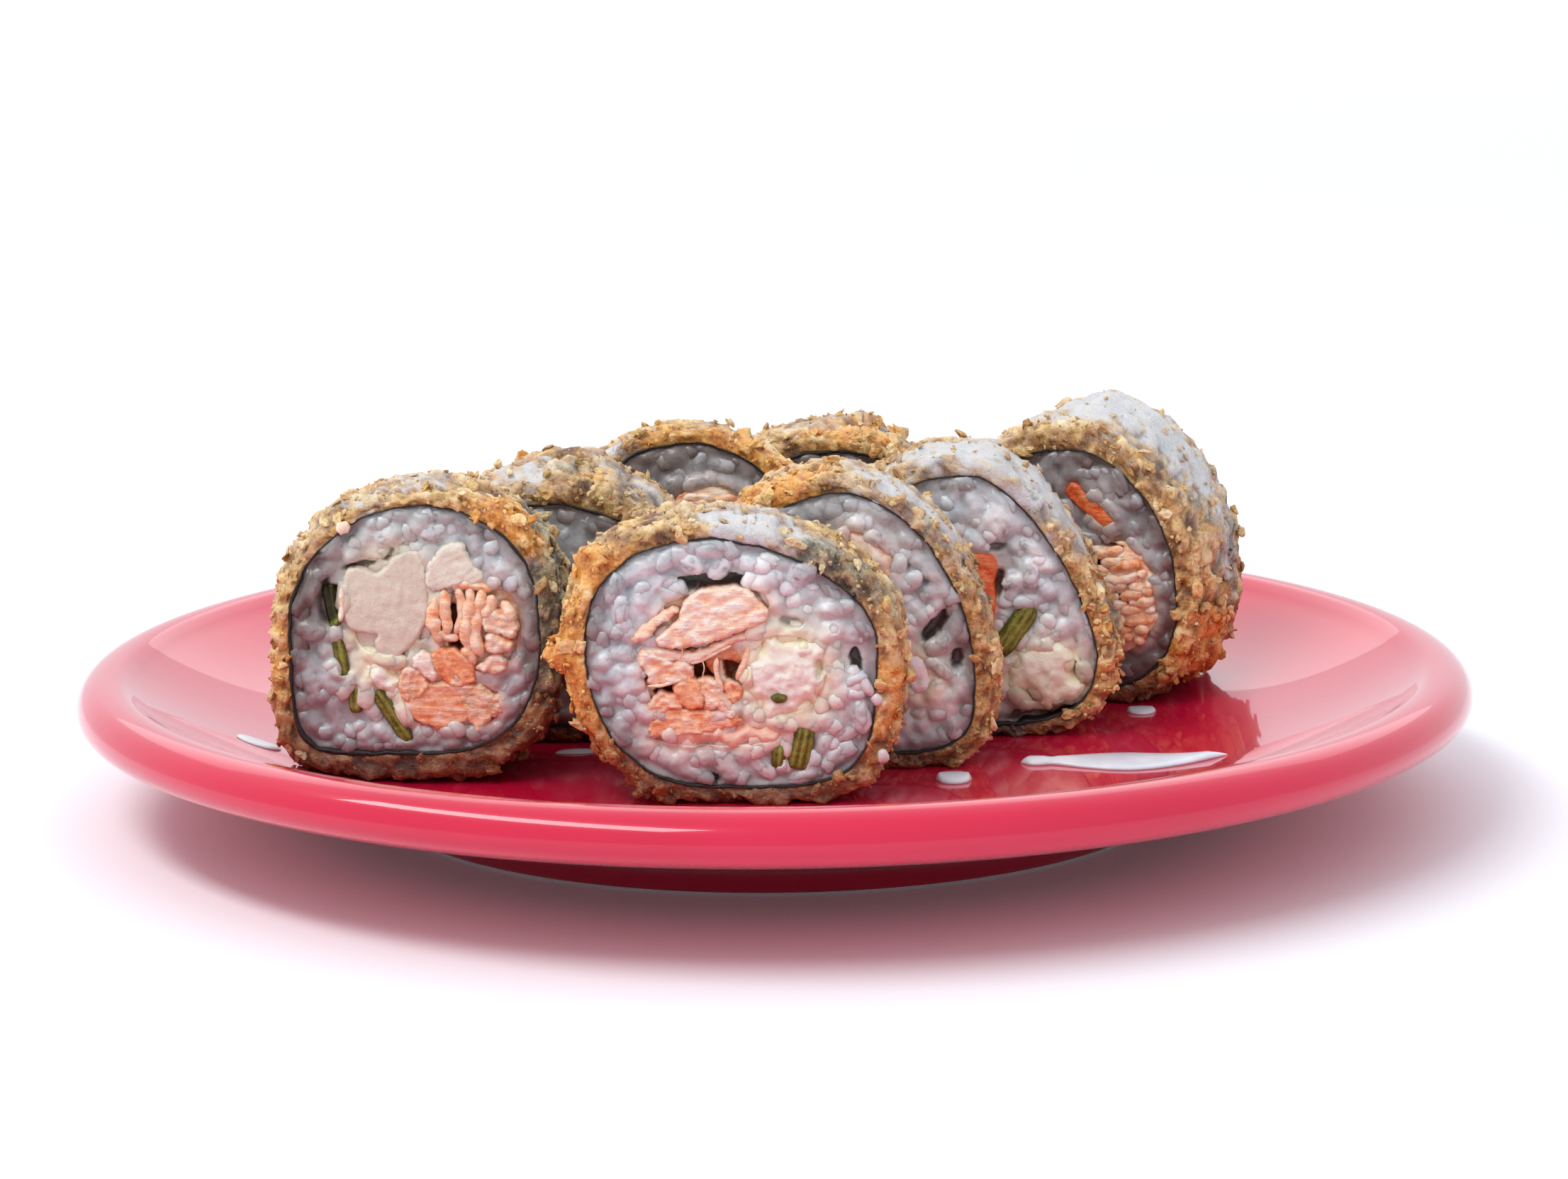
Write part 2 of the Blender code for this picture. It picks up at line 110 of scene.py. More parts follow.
# Flakes across a salmon's cut face: the distance between rows and how long they are.
FLAKE_ROW = 1.35
FLAKE_LENGTH = (3.0, 7.5)

# How many shapes the knobbly crumbs have.
NUGGET_KINDS = 24

# The photograph's camera, fitted to the plate's outline: angles in degrees, and the focal length in pixels
# of the photo.
CAMERA_PLACE = (0.0, -583.47, 139.86)
CAMERA_PITCH = 13.48 - 2.85
CAMERA_YAW = 0.145
CAMERA_ROLL = -0.525
FOCAL_LENGTH = 5797.0
PHOTO_WIDTH = 2212.0
SENSOR_WIDTH = 36.0

# A slice's rice is painted shade: the share of light its rice gets, 1 where fully lit and less where other
# slices shade it. Its dim spots add painted shade on the cut faces, and its clumps and creamy spots take some
# away.
Slice = namedtuple(
    "Slice",
    "name place turn lean depth right up left down corners coat rice mesh"
    " lumps fillings film fried bare thick caves dim clumps creamy strays faces strands",
)
Lump = namedtuple("Lump", "angle depth radius height")
Filling = namedtuple("Filling", "name kind place half_width half_height tilt", defaults=(0.0,))
Patch = namedtuple("Patch", "angle depth radius amount")
Cave = namedtuple("Cave", "u v half_width half_height tilt depth")
Spot = namedtuple("Spot", "u v radius amount")
Stray = namedtuple("Stray", "u v lift heading length peach")
Face = namedtuple("Face", "filling lift depth ragged relief tone points")
Strand = namedtuple("Strand", "filling radius lift tone points")
MARKS = {
    "lumps": Lump, "fillings": Filling, "film": Patch, "fried": Patch, "bare": Patch, "thick": Patch,
    "caves": Cave, "dim": Spot, "clumps": Spot, "creamy": Spot, "strays": Stray, "faces": Face,
    "strands": Strand,
}

# Each kind of filling: how square and how wavy its outline is, how ragged its edge is, how far its cut face
# stands out, and whether it is a soft mass or is cut along its length.
Kind = namedtuple("Kind", "square wobble jag proud mushy lengthways")
KINDS = {
    "salmon": Kind(2.6, 0.10, 0.38, 0.3, False, False),
    "smear": Kind(2.3, 0.08, 1.6, 0.5, True, False),
    "cream": Kind(2.3, 0.08, 2.2, 0.6, True, False),
    "fish": Kind(2.3, 0.08, 0.12, 0.2, False, False),
    "cheese": Kind(4.0, 0.0, 0.22, 0.55, False, False),
    "crab": Kind(4.0, 0.0, 0.16, 0.30, False, True),
    "scallion": Kind(4.0, 0.0, 0.06, 0.45, False, True),
}


def a_slice(name, **given):
    """A slice from its sizes and its marks, each a row of numbers. Drawn points are u and v in turn."""
    marks = {field: tuple(kind(*row) for row in given.get(field, ())) for field, kind in MARKS.items()}
    return Slice(name=name, **{**given, **marks})


SLICES = (
    a_slice(
        "slice_1", place=(-8.3, -44.5, 31.8), turn=0.0, lean=0.0, depth=17.5, right=21.9, up=13.8,
        left=17.0, down=20.1, corners=(1.67, 2.26, 2.21, 4.54), coat=(3.0, 1.6, 2.0, 1.9), rice=1.0,
        mesh=0.32,
        lumps=((148, 1.5, 2.8, 2.4), (186, 1.5, 3.0, 3.2)),
        fillings=(
            ("salmon_slab", "salmon", (0.2, 3.9), 7.4, 3.0, 9.0),
            ("salmon", "salmon", (-2.6, -5.2), 6.7, 4.9),
            ("cream", "cream", (9.9, -4.6), 4.8, 5.4),
            ("salmon_smear", "smear", (0.2, -13.0), 8.8, 1.5),
            ("scallion_1", "scallion", (8.7, -16.0), 0.8, 1.4, -5.0),
            ("scallion_2", "scallion", (11.8, -14.9), 1.4, 2.8, -12.0),
        ),
        film=(
            (84, 1.5, 4.0, 0.9), (66, 1.5, 5.0, 1.2), (48, 3, 3.5, 0.6), (32, 3, 3.0, 0.5), (95, 9, 7, 0.6),
            (60, 11, 7, 0.6),
        ),
        fried=(
            (150, 1, 6, 1.3), (188, 1, 6, 1.3), (215, 1, 6, 0.8), (100, -1, 4, 0.5), (-18, 0, 7, 0.7),
            (-50, 0, 7, 0.4), (238, 1, 6, 0.7), (270, 1, 6, 0.5),
        ),
        bare=((20, 1, 6, 0.7), (40, 0, 4, 0.6), (-35, 6, 10, 0.5)),
        thick=((268, 0, 9, 0.3), (70, 0, 4, 0.15)),
        caves=(
            (-0.3, 7.9, 5.0, 1.0, 3, 4.5), (2.6, 0.9, 3.9, 0.5, 14, 2.8), (-4.0, -0.8, 2.6, 0.45, -4, 2.4),
            (-1.4, -4.3, 1.7, 1.6, -20, 3.4), (3.0, -3.9, 1.4, 1.8, 20, 3.0),
            (-5.9, -6.9, 2.0, 0.6, 8, 2.8), (-8.7, -4.8, 0.6, 1.0, 0, 2.0), (19.2, -3.1, 0.7, 1.8, 8, 3.2),
            (14.2, -4.1, 0.5, 1.3, 0, 1.2), (10.6, 2.4, 1.4, 0.7, -10, 1.2), (16.3, 1.4, 0.4, 0.5, 0, 1.0),
            (0.0, -19.0, 0.8, 0.6, 0, 1.4), (-8.2, 1.2, 0.7, 0.5, 0, 1.6),
        ),
        dim=((0, -17, 6, 0.25), (-15.5, 2, 3, 0.35), (-12, -12, 4, 0.2), (16, 6, 3, 0.15)),
        clumps=(
            (-9.5, 6.0, 3.6, 0.9), (-1.5, 11.2, 3.6, 0.5), (7.8, 8.2, 3.4, 0.6), (-11.5, -3.5, 3.4, 0.5),
            (13.0, 4.0, 3.0, 0.3), (15.0, -10.0, 3.5, 0.3), (5.5, -19.0, 2.5, 0.3),
        ),
        creamy=((7.0, -10.5, 3.5, 0.6), (-3.0, -11.5, 3.0, 0.35)),
        strays=(
            (19.4, -5.4, 0.0, 20, 3.2, 0.0), (20.6, -6.3, 0.1, -60, 3.0, 0.1),
            (19.0, -7.4, -0.1, 0, 3.2, 0.0), (22.0, -8.2, 0.2, -60, 1.8, 0.2),
            (22.8, -16.0, 0.2, -80, 2.0, 0.4),
        ),
        faces=(
            ("salmon_slab", 0.9, 3.0, 0.14, 0.25, 0.32, (
                -7.5, 0.3, -5.9, 1.6, -4.5, 2.6, -4.0, 4.4, -3.3, 5.9, -1.4, 6.9, 0.6, 7.3, 2.9, 7.4,
                4.7, 7.0, 5.8, 5.7, 7.0, 4.7, 7.5, 3.9, 7.3, 3.1, 5.8, 2.2, 3.5, 1.4, 1.9, 0.7, -0.1, 0.2,
                -2.0, -0.3, -4.0, -0.6, -5.8, -0.7, -6.9, -0.4,
            )),
            ("salmon_slab", 0.2, 2.5, 0.2, 0.2, 0.25, (
                -9.2, -1.1, -6.6, -1.1, -4.6, -1.5, -2.7, -1.5, -0.7, -1.1, 1.3, -0.1, 3.2, 0.7, 5.5, 1.6,
                7.3, 2.1, 7.1, 1.1, 5.5, 0.4, 3.9, -0.0, 1.9, -0.6, 0.6, -1.3, -1.0, -2.3, -2.7, -2.8,
                -4.0, -2.6, -5.9, -2.6, -7.9, -2.3, -9.4, -1.9,
            )),
            ("salmon", 0.3, 2.5, 0.28, 0.35, 0.2, (
                -9.8, -1.1, -8.2, -1.4, -6.6, -2.4, -4.6, -2.8, -3.0, -3.1, -2.7, -4.3, -3.2, -5.6,
                -4.6, -5.8, -6.3, -5.6, -7.6, -5.9, -8.7, -5.6, -8.8, -4.6, -9.4, -3.6, -9.9, -2.3,
            )),
            ("salmon", -0.8, 2.0, 0.15, 0.3, -0.25, (
                -1.4, -2.3, 0.6, -1.4, 2.6, -0.8, 4.8, -0.4, 5.0, -1.3, 4.4, -2.6, 3.5, -3.3, 2.6, -2.6,
                1.3, -2.6, 0.6, -3.6, 0.3, -4.9, -0.4, -3.9,
            )),
            ("salmon", 0.25, 2.5, 0.25, 0.35, 0.05, (
                -9.0, -9.8, -8.7, -8.4, -7.6, -7.4, -5.9, -6.9, -4.6, -7.6, -4.0, -8.9, -4.6, -9.3,
                -5.9, -9.3, -7.2, -10.3, -8.2, -10.8, -8.9, -10.6,
            )),
            ("salmon", 0.3, 2.5, 0.2, 0.2, -0.15, (
                -5.0, -5.9, -3.6, -4.9, -2.3, -5.1, -1.8, -5.9, -1.4, -7.3, -1.4, -8.6, -2.3, -9.3,
                -3.5, -9.1, -4.5, -8.3, -5.1, -7.1,
            )),
            ("salmon", 0.3, 2.5, 0.25, 0.4, 0.18, (
                -2.3, -5.6, -1.4, -4.9, 0.3, -5.3, 0.9, -6.6, 1.9, -7.6, 2.9, -9.6, 2.7, -10.6, 1.6, -10.3,
                0.6, -9.3, -0.7, -9.3, -1.4, -7.9, -2.0, -6.6,
            )),
            ("salmon", -0.1, 2.5, 0.25, 0.4, 0.0, (
                1.9, -5.6, 3.2, -5.6, 3.9, -6.6, 3.5, -7.9, 2.6, -8.6, 1.7, -7.6, 1.6, -6.3,
            )),
            ("salmon", 0.1, 2.0, 0.25, 0.25, -0.05, (
                -8.2, -10.8, -5.9, -9.4, -4.0, -9.4, -2.0, -9.6, -0.1, -9.8, 1.9, -10.6, 3.2, -10.3,
                3.9, -10.9, 2.6, -11.8, 0.6, -12.1, -1.4, -12.6, -4.0, -12.9, -6.6, -13.3, -8.2, -12.9,
                -8.7, -11.8,
            )),
            ("salmon_slab", 0.75, 2.0, 0.2, 0.2, 0.22, (
                -10.8, 0.3, -10.0, 1.6, -8.5, 2.7, -6.9, 3.9, -5.3, 4.6, -4.6, 4.3, -5.3, 3.4, -6.6, 2.6,
                -7.9, 1.7, -8.4, 0.7, -9.5, 0.2,
            )),
            ("scallion_1", 0.9, 1.0, 0.05, 0.05, 0.1, (
                7.9, -7.7, 8.9, -7.2, 9.9, -7.6, 9.6, -8.3, 8.4, -8.4,
            )),
        ),
        strands=(
            ("salmon", 0.42, 0.05, 0.15, (0.6, -2.3, 0.4, -3.9, 0.8, -5.6, 1.3, -7.1)),
            ("salmon", 0.4, -0.1, 0.05, (4.8, -0.8, 4.5, -2.6, 3.8, -3.9, 3.2, -5.4)),
            ("salmon", 0.1, 0.35, 0.1, (-1.4, -2.5, -1.0, -3.6, -1.4, -4.8)),
            ("salmon", 0.1, 0.4, 0.1, (-4.1, -0.5, -3.9, -1.3, -4.3, -2.3)),
            ("salmon", 0.26, 0.45, 0.3, (-8.8, -6.0, -6.9, -6.0, -5.3, -5.5, -4.2, -5.2)),
            ("salmon", 0.3, 0.15, 0.25, (-3.0, -3.0, -1.4, -2.6, 0.6, -1.5, 2.6, -0.6)),
            ("salmon", 0.22, 0.3, 0.2, (0.3, -5.3, 1.3, -7.6, 2.7, -10.3)),
        ),
    ),
    a_slice(
        "slice_2", place=(10.1, -24.0, 23.7), turn=0.0, lean=0.0, depth=17.0, right=17.7, up=24.5,
        left=18.5, down=12.3, corners=(1.72, 2.36, 2.3, 4.69), coat=(2.4, 1.6, 2.2, 1.6), rice=0.92,
        mesh=0.42,
        lumps=((118, 3.0, 3.5, 1.2), (52, 8.0, 2.5, 1.0)),
        fillings=(
            ("salmon", "salmon", (0.4, 0.6), 7.2, 6.8),
            ("salmon_top", "smear", (2.9, 16.2), 4.4, 1.9, -40.0),
            ("cream_cheese", "cheese", (9.9, -1.1), 1.2, 2.5, 16.0),
        ),
        film=((80, 3, 4.5, 0.8), (62, 4, 4.5, 0.8), (45, 4, 4, 0.55), (28, 5, 4, 0.4), (75, 11, 7, 0.6)),
        fried=((122, 1, 8, 1.2), (100, 4, 4, 0.7), (52, 8, 3, 0.8), (10, 2, 6, 0.5)),
        bare=((20, 8, 10, 0.6), (60, 1, 4, 0.5)),
        thick=((-60, 0, 8, 0.25),),
        caves=(
            (12.4, 5.8, 2.9, 0.9, 53, 3.0), (15.4, 0.9, 0.8, 1.4, 0, 2.5), (8.4, 14.3, 0.4, 0.5, 0, 1.0),
            (10.9, 12.0, 0.5, 0.4, 0, 1.0),
        ),
        dim=((13, 4, 4, 0.3), (-2, 20, 3, 0.3)),
        clumps=((3.0, 20.0, 3.5, 0.8), (10.5, 13.0, 3.5, 0.6), (12.5, -4.0, 3.0, 0.6)),
    ),
    a_slice(
        "slice_3", place=(29.1, -4.0, 21.0), turn=3.0, lean=0.0, depth=19.0, right=17.3, up=26.3, left=18.6,
        down=10.2, corners=(1.43, 2.79, 2.3, 2.67), coat=(2.2, 2.2, 2.0, 1.2), rice=1.0, mesh=0.42,
        lumps=((75, 12.0, 3.5, 0.8), (10, 8.0, 3.0, 0.8)),
        fillings=(
            ("salmon", "salmon", (-8.4, 2.0), 5.4, 6.2),
            ("crab", "crab", (0.6, 8.9), 2.1, 6.0, -4.0),
            ("scallion", "scallion", (5.5, 3.9), 1.5, 4.1, -35.0),
            ("cream", "cream", (9.9, -3.1), 5.2, 3.8),
        ),
        film=(
            (105, 5, 6, 0.9), (85, 4, 6, 1.0), (65, 5, 5.5, 1.0), (48, 6, 5, 0.7), (25, 8, 4, 0.45),
            (80, 13, 7, 0.7),
        ),
        fried=((120, 2, 3, 0.9), (15, 1, 5, 0.5), (-10, 2, 6, 0.6), (40, 9, 3, 0.5)),
        # The third bare patch makes the crust under the slice dull and dark: partly seaweed showing through,
        # partly painted shade.
        bare=((15, 9, 9, 0.6), (70, 0, 4, 0.5), (-75, 0, 8, 1.2)),
        thick=((-85, 0, 10, 0.45), (-50, 0, 6, 0.3)),
        caves=(
            (3.4, 10.5, 0.8, 1.8, 0, 2.0), (8.0, -9.0, 3.4, 0.9, 0, 2.4), (13.5, -8.2, 3.0, 0.8, 14, 2.2),
            (2.4, 15.8, 1.6, 0.6, 10, 1.5),
        ),
        dim=((3, -7, 5, 0.4), (12, -7, 5, 0.3), (3, 14, 3, 0.3), (9.5, -3, 5, 0.3)),
        clumps=((4.0, 21.0, 4.0, 0.5), (9.0, 12.0, 3.5, 0.5), (13.5, 2.0, 3.0, 0.5)),
    ),
    a_slice(
        "slice_4", place=(44.3, 19.6, 26.7), turn=27.0, lean=4.0, depth=19.5, right=16.9, up=21.0,
        left=18.5, down=15.7, corners=(1.94, 2.02, 2.3, 2.51), coat=(2.7, 3.0, 2.2, 1.6), rice=0.4,
        mesh=0.42,
        lumps=((-32, 8.0, 4.5, 1.8), (28, 9.0, 3.5, 1.0), (85, 14.0, 6.0, 1.6)),
        fillings=(
            ("salmon", "salmon", (5.8, -1.2), 8.0, 8.2),
            ("crab", "crab", (3.5, 12.6), 4.4, 1.3, -38.0),
            ("cream", "cream", (-7.8, -1.5), 4.0, 5.2),
        ),
        film=(
            (100, 11, 8, 0.8), (75, 11, 8, 0.9), (50, 11, 7, 0.8), (28, 12, 5, 0.6), (8, 12, 4.5, 0.5),
            (85, 5, 4, 0.3),
        ),
        fried=(
            (-30, 4, 7, 1.3), (-15, 9, 4, 0.8), (28, 10, 4, 0.8), (5, 3, 5, 0.5), (50, 2, 6, 0.3),
            (120, 3, 5, 0.4),
        ),
        bare=((60, 8, 8, 0.6), (30, 14, 8, 0.6), (0, 14, 8, 0.5)),
        thick=((-120, 0, 9, 0.5), (-60, 0, 6, 0.3)),
        caves=(
            (3.4, 3.8, 3.0, 0.6, 4, 2.4), (7.6, -1.0, 2.8, 0.5, -35, 2.0), (6.0, 6.8, 2.4, 0.5, -10, 1.8),
        ),
        dim=((-2, -12, 7, 0.3), (2, 16, 4, 0.2)),
        clumps=((8.0, 15.0, 3.5, 0.5), (12.5, 7.0, 3.0, 0.4)),
    ),
    a_slice(
        "slice_5", place=(-49.2, -31.0, 32.7), turn=0.0, lean=0.0, depth=19.5, right=17.0, up=15.5,
        left=17.2, down=19.1, corners=(2.2, 1.81, 6.65, 2.91), coat=(2.3, 1.0, 1.5, 3.2), rice=0.8,
        mesh=0.32,
        lumps=((46, 2.0, 3.6, 1.6), (126, 2.0, 2.4, 1.5), (-45, 5.0, 4.0, 0.9)),
        fillings=(
            ("white_fish", "fish", (-3.7, 1.7), 4.7, 7.0, -15.0),
            ("salmon", "salmon", (8.6, -1.5), 5.7, 6.1),
            ("salmon_low", "salmon", (4.7, -12.1), 6.6, 3.3),
            ("cream", "cream", (-4.1, -8.3), 2.5, 1.3, -20.0),
            ("scallion_1", "scallion", (-11.4, 1.7), 0.95, 2.7, 10.0),
            ("scallion_2", "scallion", (-10.3, -5.3), 0.75, 2.8, 9.0),
            ("scallion_3", "scallion", (-8.4, -11.2), 0.85, 1.9),
            ("scallion_4", "scallion", (-3.3, -13.8), 0.9, 4.1, 32.0),
        ),
        film=((112, 3, 4, 0.6), (140, 3, 5, 0.5), (85, 8, 6, 0.6), (100, 14, 6, 0.5), (20, 3, 5, 0.3)),
        fried=(
            (46, 1, 5.5, 1.3), (28, 3, 3, 0.5), (180, 0, 7, 0.5), (205, 0, 6, 0.5), (-75, 1, 6, 0.5),
            (-50, 2, 6, 0.3), (70, 0, 4, 0.3),
        ),
        bare=((10, 3, 8, 0.9), (-15, 6, 9, 0.9), (30, 10, 8, 0.8), (-40, 10, 9, 0.7)),
        thick=((232, 0, 9, 0.55), (262, 0, 6, 0.35), (182, 0, 8, 0.3), (36, 0, 5, 0.25)),
        caves=(
            (5.3, -0.1, 1.0, 1.7, 10, 3.2), (5.6, -3.7, 1.0, 0.8, 20, 3.2), (1.2, -1.2, 0.6, 1.8, -20, 1.6),
            (-1.6, -5.2, 0.6, 0.4, 45, 1.2), (0.2, -7.6, 0.9, 0.5, 20, 1.7),
            (-7.6, 7.3, 2.2, 0.45, 12, 1.6), (-0.6, 10.0, 1.2, 0.5, 12, 1.6),
            (-11.6, 2.2, 1.7, 3.0, 8, 1.6), (-3.4, 8.8, 1.0, 0.5, 50, 1.2),
        ),
        dim=((-15, 0, 4.5, 0.6), (-14, -10, 5, 0.3), (-12, 7, 4, 0.3), (15, -4, 4, 0.2)),
        clumps=(
            (2.0, 13.0, 3.5, 0.3), (-5.0, 11.5, 3.0, 0.5), (12.0, 6.0, 3.0, 0.5), (-11.0, -6.5, 3.0, 0.3),
        ),
        creamy=((-5.5, -6.0, 4.5, 1.0), (-1.0, -11.5, 3.0, 0.6), (3.0, -6.5, 2.5, 0.6)),
        faces=(
            ("white_fish", 0.15, 3.0, 0.14, 0.09, 0.0, (
                -9.6, 5.5, -9.3, 6.5, -8.0, 7.0, -6.4, 6.8, -5.3, 5.9, -4.4, 6.4, -3.7, 7.0, -3.3, 7.9,
                -2.4, 8.6, -0.9, 9.2, 0.6, 9.3, 1.3, 8.3, 1.6, 6.2, 1.8, 4.1, 1.9, 2.0, 1.6, -0.1,
                0.9, -1.6, 0.1, -2.8, -0.9, -4.2, -2.4, -5.2, -3.7, -6.1, -5.0, -5.2, -5.6, -3.7,
                -4.9, -2.2, -6.8, -1.9, -8.6, -1.5, -9.4, -0.4, -9.6, 1.4, -9.4, 3.5,
            )),
            ("white_fish", 0.5, 2.5, 0.2, 0.12, 0.25, (
                1.9, 4.1, 1.7, 5.9, 2.3, 7.6, 3.6, 9.3, 5.2, 10.4, 6.7, 10.2, 7.2, 9.0, 8.5, 7.1, 9.4, 5.6,
                9.1, 4.7, 6.8, 4.8, 4.8, 4.5, 3.6, 4.0, 2.5, 3.8,
            )),
            ("salmon", 0.55, 2.5, 0.25, 0.45, 0.2, (
                9.4, 0.2, 10.7, 1.1, 12.2, 0.8, 13.7, -0.4, 14.4, -1.6, 14.0, -2.5, 12.5, -2.7, 11.0, -2.2,
                9.8, -1.9, 9.2, -1.0,
            )),
            ("salmon", 0.5, 2.5, 0.25, 0.45, 0.18, (
                9.8, -2.5, 11.3, -2.4, 13.1, -3.1, 13.2, -4.3, 11.9, -5.1, 10.4, -4.9, 9.5, -4.0,
            )),
            ("salmon", 0.55, 2.5, 0.22, 0.35, 0.4, (
                8.2, -7.1, 9.2, -5.9, 11.0, -5.2, 12.5, -5.9, 12.3, -7.1, 11.3, -7.8, 9.5, -7.7,
            )),
            ("salmon", 0.3, 2.5, 0.16, 0.25, -0.2, (
                2.2, -4.9, 3.6, -4.3, 5.4, -4.5, 6.8, -5.2, 7.9, -6.6, 8.0, -8.3, 7.4, -9.3, 5.9, -9.7,
                4.5, -9.2, 3.0, -7.7, 2.4, -6.2,
            )),
            ("salmon", 0.6, 2.0, 0.15, 0.2, 0.5, (
                -0.4, -5.5, 0.9, -4.6, 2.1, -5.2, 2.6, -6.8, 3.0, -8.3, 2.2, -8.8, 1.3, -8.0, 0.6, -7.1,
                -0.3, -6.8,
            )),
            ("salmon_low", 0.2, 2.5, 0.25, 0.35, 0.15, (
                -2.1, -7.4, -0.6, -6.9, 0.9, -7.7, 1.5, -9.2, 0.9, -10.7, -0.6, -11.6, -1.8, -11.3,
                -2.4, -9.8,
            )),
            ("salmon_low", -0.05, 2.5, 0.2, 0.2, -0.02, (
                -2.4, -9.8, -0.9, -9.2, 1.5, -9.2, 3.9, -9.2, 6.2, -9.6, 8.6, -9.2, 10.1, -10.7,
                12.2, -11.3, 12.0, -13.1, 10.7, -14.0, 8.6, -13.7, 6.8, -14.3, 5.1, -15.2, 2.7, -15.5,
                0.6, -14.9, -0.9, -13.4, -2.1, -11.6,
            )),
            ("salmon_low", 0.1, 2.0, 0.2, 0.2, 0.05, (
                6.2, -10.1, 8.6, -9.5, 10.4, -11.0, 12.2, -11.3, 11.9, -12.8, 10.1, -13.7, 8.6, -16.1,
                7.4, -14.9, 6.8, -12.8, 5.9, -11.3,
            )),
        ),
        strands=(
            ("salmon", 0.96, 0.23, 0.05, (3.1, 3.2, 2.6, 1.4, 2.4, -0.1, 2.9, -1.9, 3.6, -3.4)),
            ("salmon", 0.83, 0.18, 0.0, (4.0, 4.0, 4.3, 2.5, 4.1, 0.8, 4.5, -1.0, 4.2, -2.5)),
            ("salmon", 0.77, 0.23, 0.05, (5.9, 4.3, 6.4, 2.6, 6.6, 0.8, 6.2, -1.0, 5.5, -2.2)),
            ("salmon", 0.9, 0.28, 0.08, (7.6, 4.4, 7.7, 2.6, 7.4, 0.8, 7.0, -1.0, 6.8, -2.8, 7.7, -4.8)),
            ("salmon", 0.9, 0.33, 0.12, (9.4, 4.1, 9.1, 2.3, 8.6, 0.5, 8.2, -1.6, 8.3, -3.4, 9.1, -5.5)),
            ("salmon", 0.83, 0.28, 0.12, (10.8, 3.2, 10.4, 1.7, 9.4, 0.0)),
            ("salmon", 0.9, 0.33, 0.15, (12.0, 2.3, 13.0, 0.9, 13.5, -0.6)),
            ("salmon", 0.64, 0.23, 0.05, (2.8, -1.9, 3.9, -2.6, 4.9, -2.8, 6.1, -2.7)),
            ("salmon", 0.7, 0.28, -0.05, (6.2, -4.4, 7.0, -4.9, 7.9, -5.4, 7.8, -6.8)),
            ("salmon", 0.64, 0.08, 0.0, (5.1, 4.4, 7.0, 4.7, 8.9, 4.4, 10.7, 3.8)),
            ("salmon", 0.42, 0.35, 0.3, (-9.9, 4.4, -9.8, 2.0, -10.2, -0.4)),
            ("salmon", 1.05, 0.9, 0.35, (-10.3, 12.5, -9.3, 12.8, -8.4, 12.9)),
        ),
    ),
    a_slice(
        "slice_6", place=(-31.8, -5.9, 27.0), turn=2.0, lean=0.0, depth=21.0, right=18.2, up=17.0,
        left=18.2, down=15.4, corners=(2.1, 2.3, 2.4, 3.0), coat=(2.8, 2.6, 2.4, 1.6), rice=0.55, mesh=0.6,
        lumps=((82, 14.0, 10.0, 2.4), (45, 11.0, 4.5, 0.9)),
        fillings=(
            ("salmon", "salmon", (-3.0, -0.5), 6.8, 6.4),
            ("cream", "cream", (8.6, -2.5), 3.4, 4.8),
        ),
        film=((100, 5, 5, 0.9), (55, 9, 6, 0.6), (120, 12, 6, 0.4), (75, 14, 5, 0.3)),
        fried=((75, 4, 3, 0.7), (65, 7, 3, 0.6), (110, 10, 4, 0.6), (35, 5, 3, 0.5)),
        bare=((60, 3, 7, 0.4), (85, 10, 8, 0.4)),
        thick=((70, 0, 6, 0.2),),
        dim=((0, -8, 8, 0.2),),
        clumps=((8.0, 10.0, 3.5, 0.4),),
    ),
    a_slice(
        "slice_7", place=(-13.0, 17.6, 29.5), turn=0.0, lean=-8.0, depth=17.0, right=18.0, up=19.5,
        left=17.4, down=16.0, corners=(2.0, 2.1, 2.4, 2.8), coat=(2.4, 1.8, 2.2, 1.5), rice=0.42, mesh=0.6,
        lumps=((140, 2.0, 3.0, 1.2), (40, 2.5, 3.2, 1.3)),
        fillings=(
            ("salmon", "salmon", (3.4, 4.6), 6.2, 8.6),
            ("cream", "cream", (-8.0, -1.5), 3.8, 5.4),
        ),
        film=((122, 1, 4, 1.0), (80, 10, 5, 0.4)),
        fried=((140, 2, 4, 1.1), (95, 1, 8, 0.7), (60, 1, 6, 1.0), (40, 3, 5, 0.9)),
        bare=((90, 8, 8, 0.4),),
        thick=((120, 0, 6, 0.3),),
        dim=((-4, 12, 6, 0.2),),
        clumps=((4.0, 14.0, 3.5, 0.4),),
    ),
    a_slice(
        "slice_8", place=(9.2, 39.5, 28.6), turn=-2.0, lean=0.0, depth=17.0, right=15.8, up=15.9, left=16.6,
        down=17.1, corners=(2.1, 2.2, 2.5, 2.7), coat=(2.4, 2.2, 2.4, 1.5), rice=0.22, mesh=0.6,
        lumps=((76, 9.0, 3.4, 1.8), (128, 5.0, 3.0, 0.9)),
        fillings=(
            ("salmon", "salmon", (-2.5, -0.5), 6.8, 6.6),
            ("cream", "cream", (8.8, -2.0), 3.5, 4.8),
        ),
        film=((100, 6, 4, 0.6), (75, 11, 5, 0.8), (130, 9, 4, 0.6)),
        fried=((90, 2, 7, 0.7), (65, 2, 6, 0.5), (62, 13, 4, 1.0), (140, 10, 3, 0.9)),
        bare=((60, 6, 6, 0.4),),
        thick=((95, 0, 8, 0.5),),
    ),
)


def noise_at(points, size, seed=0.0):
    """Smooth noise from about -1 to 1 at each point, with features of that size."""
    return np.array([noise.noise(spot) for spot in (points / size + seed).tolist()])


def noise_on(flat, size, seed):
    """The same for points of a cut face."""
    return noise_at(np.column_stack([flat, np.full(len(flat), float(seed))]), size)


def seed_of(text):
    return sum(map(ord, text))


def circle(count, start=0.0):
    """Angles of points evenly spaced around a circle."""
    return 2 * math.pi * (np.arange(count) + start) / count


